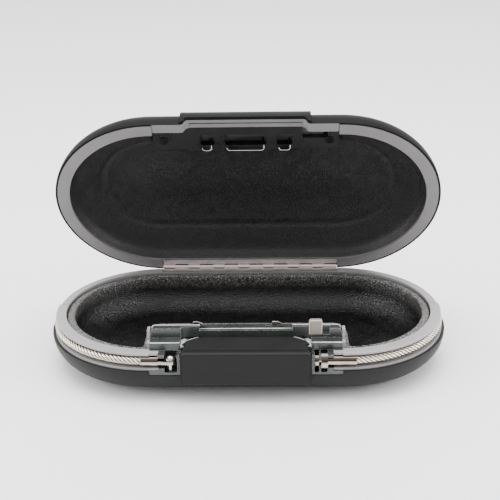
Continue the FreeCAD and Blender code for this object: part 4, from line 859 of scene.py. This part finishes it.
def buildShoulders():
    centreX, centreY = shoulders["cornerCentre"]
    radius = shoulders["corner"]
    begin = math.asin((shoulders["front"] - centreY) / radius)
    finish = math.acos((shoulders["inner"] - centreX) / radius)
    skin = bmesh.new()
    for side in (-1, 1):
        outline = [(shoulders["inner"], shoulders["front"])]
        for angle in np.linspace(begin, finish, shoulders["steps"]):
            outline.append((centreX + radius * math.cos(angle), centreY + radius * math.sin(angle)))
        low = [skin.verts.new((x * side * mm, y * mm, shoulders["low"] * mm)) for x, y in outline]
        high = [skin.verts.new((x * side * mm, y * mm, shoulders["high"] * mm)) for x, y in outline]
        skin.faces.new(low)
        skin.faces.new(high)
        for index in range(len(outline)):
            after = (index + 1) % len(outline)
            skin.faces.new((low[index], low[after], high[after], high[index]))
    bmesh.ops.recalc_face_normals(skin, faces=skin.faces)
    mesh = bpy.data.meshes.new("hood.shoulders")
    skin.to_mesh(mesh)
    skin.free()
    markEdges(mesh)
    piece = bpy.data.objects.new("hood.shoulders", mesh)
    bpy.context.scene.collection.objects.link(piece)
    rounding = piece.modifiers.new("roundedEdges", "BEVEL")
    rounding.width = 0.3 * mm
    rounding.segments = 3
    rounding.limit_method = "ANGLE"
    rounding.angle_limit = math.radians(edges["sharpAngle"])
    rounding.harden_normals = True
    piece.data.materials.append(materials["hood"])
    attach(piece, "base")


buildShoulders()


# Hood piping: the thin light line that runs up each side of the hood and round its rear corner
piping = {
    "side": 36.98,
    "sideDepth": -62.9,
    "low": 13.0,
    "straightTop": 28.0,
    "radius": 0.24,
    "sunk": 0.10,
    "roundingCentre": (32.1, 29.0),
    "rounding": 5.0,
    "firstAngle": 22.0,
    "lastAngle": 72.0,
    "steps": 20,
}


def buildPiping():
    centreX, centreY = shoulders["cornerCentre"]
    roundX, roundZ = piping["roundingCentre"]
    verts, faces, caps = [], [], []
    offset = 0
    for side in (-1, 1):
        upright = [(side * piping["side"], piping["sideDepth"], piping["low"]),
                   (side * piping["side"], piping["sideDepth"], piping["straightTop"])]
        bend = []
        for angle in np.radians(np.linspace(piping["firstAngle"], piping["lastAngle"], piping["steps"])):
            # On the rear corner's upright arc, at the height of the hood's rounded shoulder there
            across = centreX + (shoulders["corner"] - piping["sunk"]) * math.cos(angle)
            beyond = max(0.0, across - roundX)
            height = roundZ - piping["sunk"] + math.sqrt(piping["rounding"] ** 2 - beyond ** 2)
            bend.append((side * across,
                         centreY + (shoulders["corner"] - piping["sunk"]) * math.sin(angle), height))
        for line in (upright, bend):
            partVerts, partFaces, partCaps = tubeAlong(
                np.asarray(line) * mm, piping["radius"] * mm, 10, (-float(side), -1.0, 0.0))
            verts.append(partVerts)
            faces.append(partFaces + offset)
            caps.extend(cap + offset for cap in partCaps)
            offset += len(partVerts)
    piece = meshFrom("hood.piping", np.concatenate(verts), np.concatenate(faces), caps)
    piece.data.materials.append(materials["piping"])
    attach(piece, "base")


buildPiping()


# Painted highlight lines along the lock wall's top and ends, and along the ledge in front of it, in mm.
# Each line is a list of (across, height) at one depth.
wallLines = {
    "radius": 0.30,
    "topDepth": -46.5,
    "ledgeDepth": -57.5,
    "top": 40.4,
    "middle": 38.0,
    "ledge": 34.6,
    "end": 54.8,
    "corner": 3.0,
    "middleHalf": 26.6,
    "ledgeInner": 37.6,
    "foot": 35.6,
}


def buildWallLines():
    lines = [([(-wallLines["middleHalf"], wallLines["middle"]), (wallLines["middleHalf"], wallLines["middle"])],
              wallLines["topDepth"])]
    for side in (-1, 1):
        bend = [(side * (wallLines["end"] - wallLines["corner"] * (1.0 - math.cos(angle))),
                 wallLines["top"] - wallLines["corner"] * (1.0 - math.sin(angle)))
                for angle in np.linspace(0.0, math.pi / 2.0, 8)]
        rise = [(side * wallLines["end"], wallLines["foot"])] + bend
        rise.append((side * wallLines["middleHalf"], wallLines["top"]))
        lines.append((rise, wallLines["topDepth"]))
        lines.append(([(side * wallLines["end"], wallLines["ledge"]),
                       (side * wallLines["ledgeInner"], wallLines["ledge"])], wallLines["ledgeDepth"]))
    verts, faces, caps = [], [], []
    offset = 0
    for line, depth in lines:
        path = np.array([(across, depth, height) for across, height in line]) * mm
        partVerts, partFaces, partCaps = tubeAlong(path, wallLines["radius"] * mm, 8, (0.0, 1.0, 0.0))
        verts.append(partVerts)
        faces.append(partFaces + offset)
        caps.extend(cap + offset for cap in partCaps)
        offset += len(partVerts)
    piece = meshFrom("lock.highlightLines", np.concatenate(verts), np.concatenate(faces), caps)
    piece.data.materials.append(materials["edgeHighlight"])
    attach(piece, "base")


buildWallLines()
# The pale lines along the strike lips and the lock wall are painted highlights
print("strike lips, seam, hood corners and worn lines made")
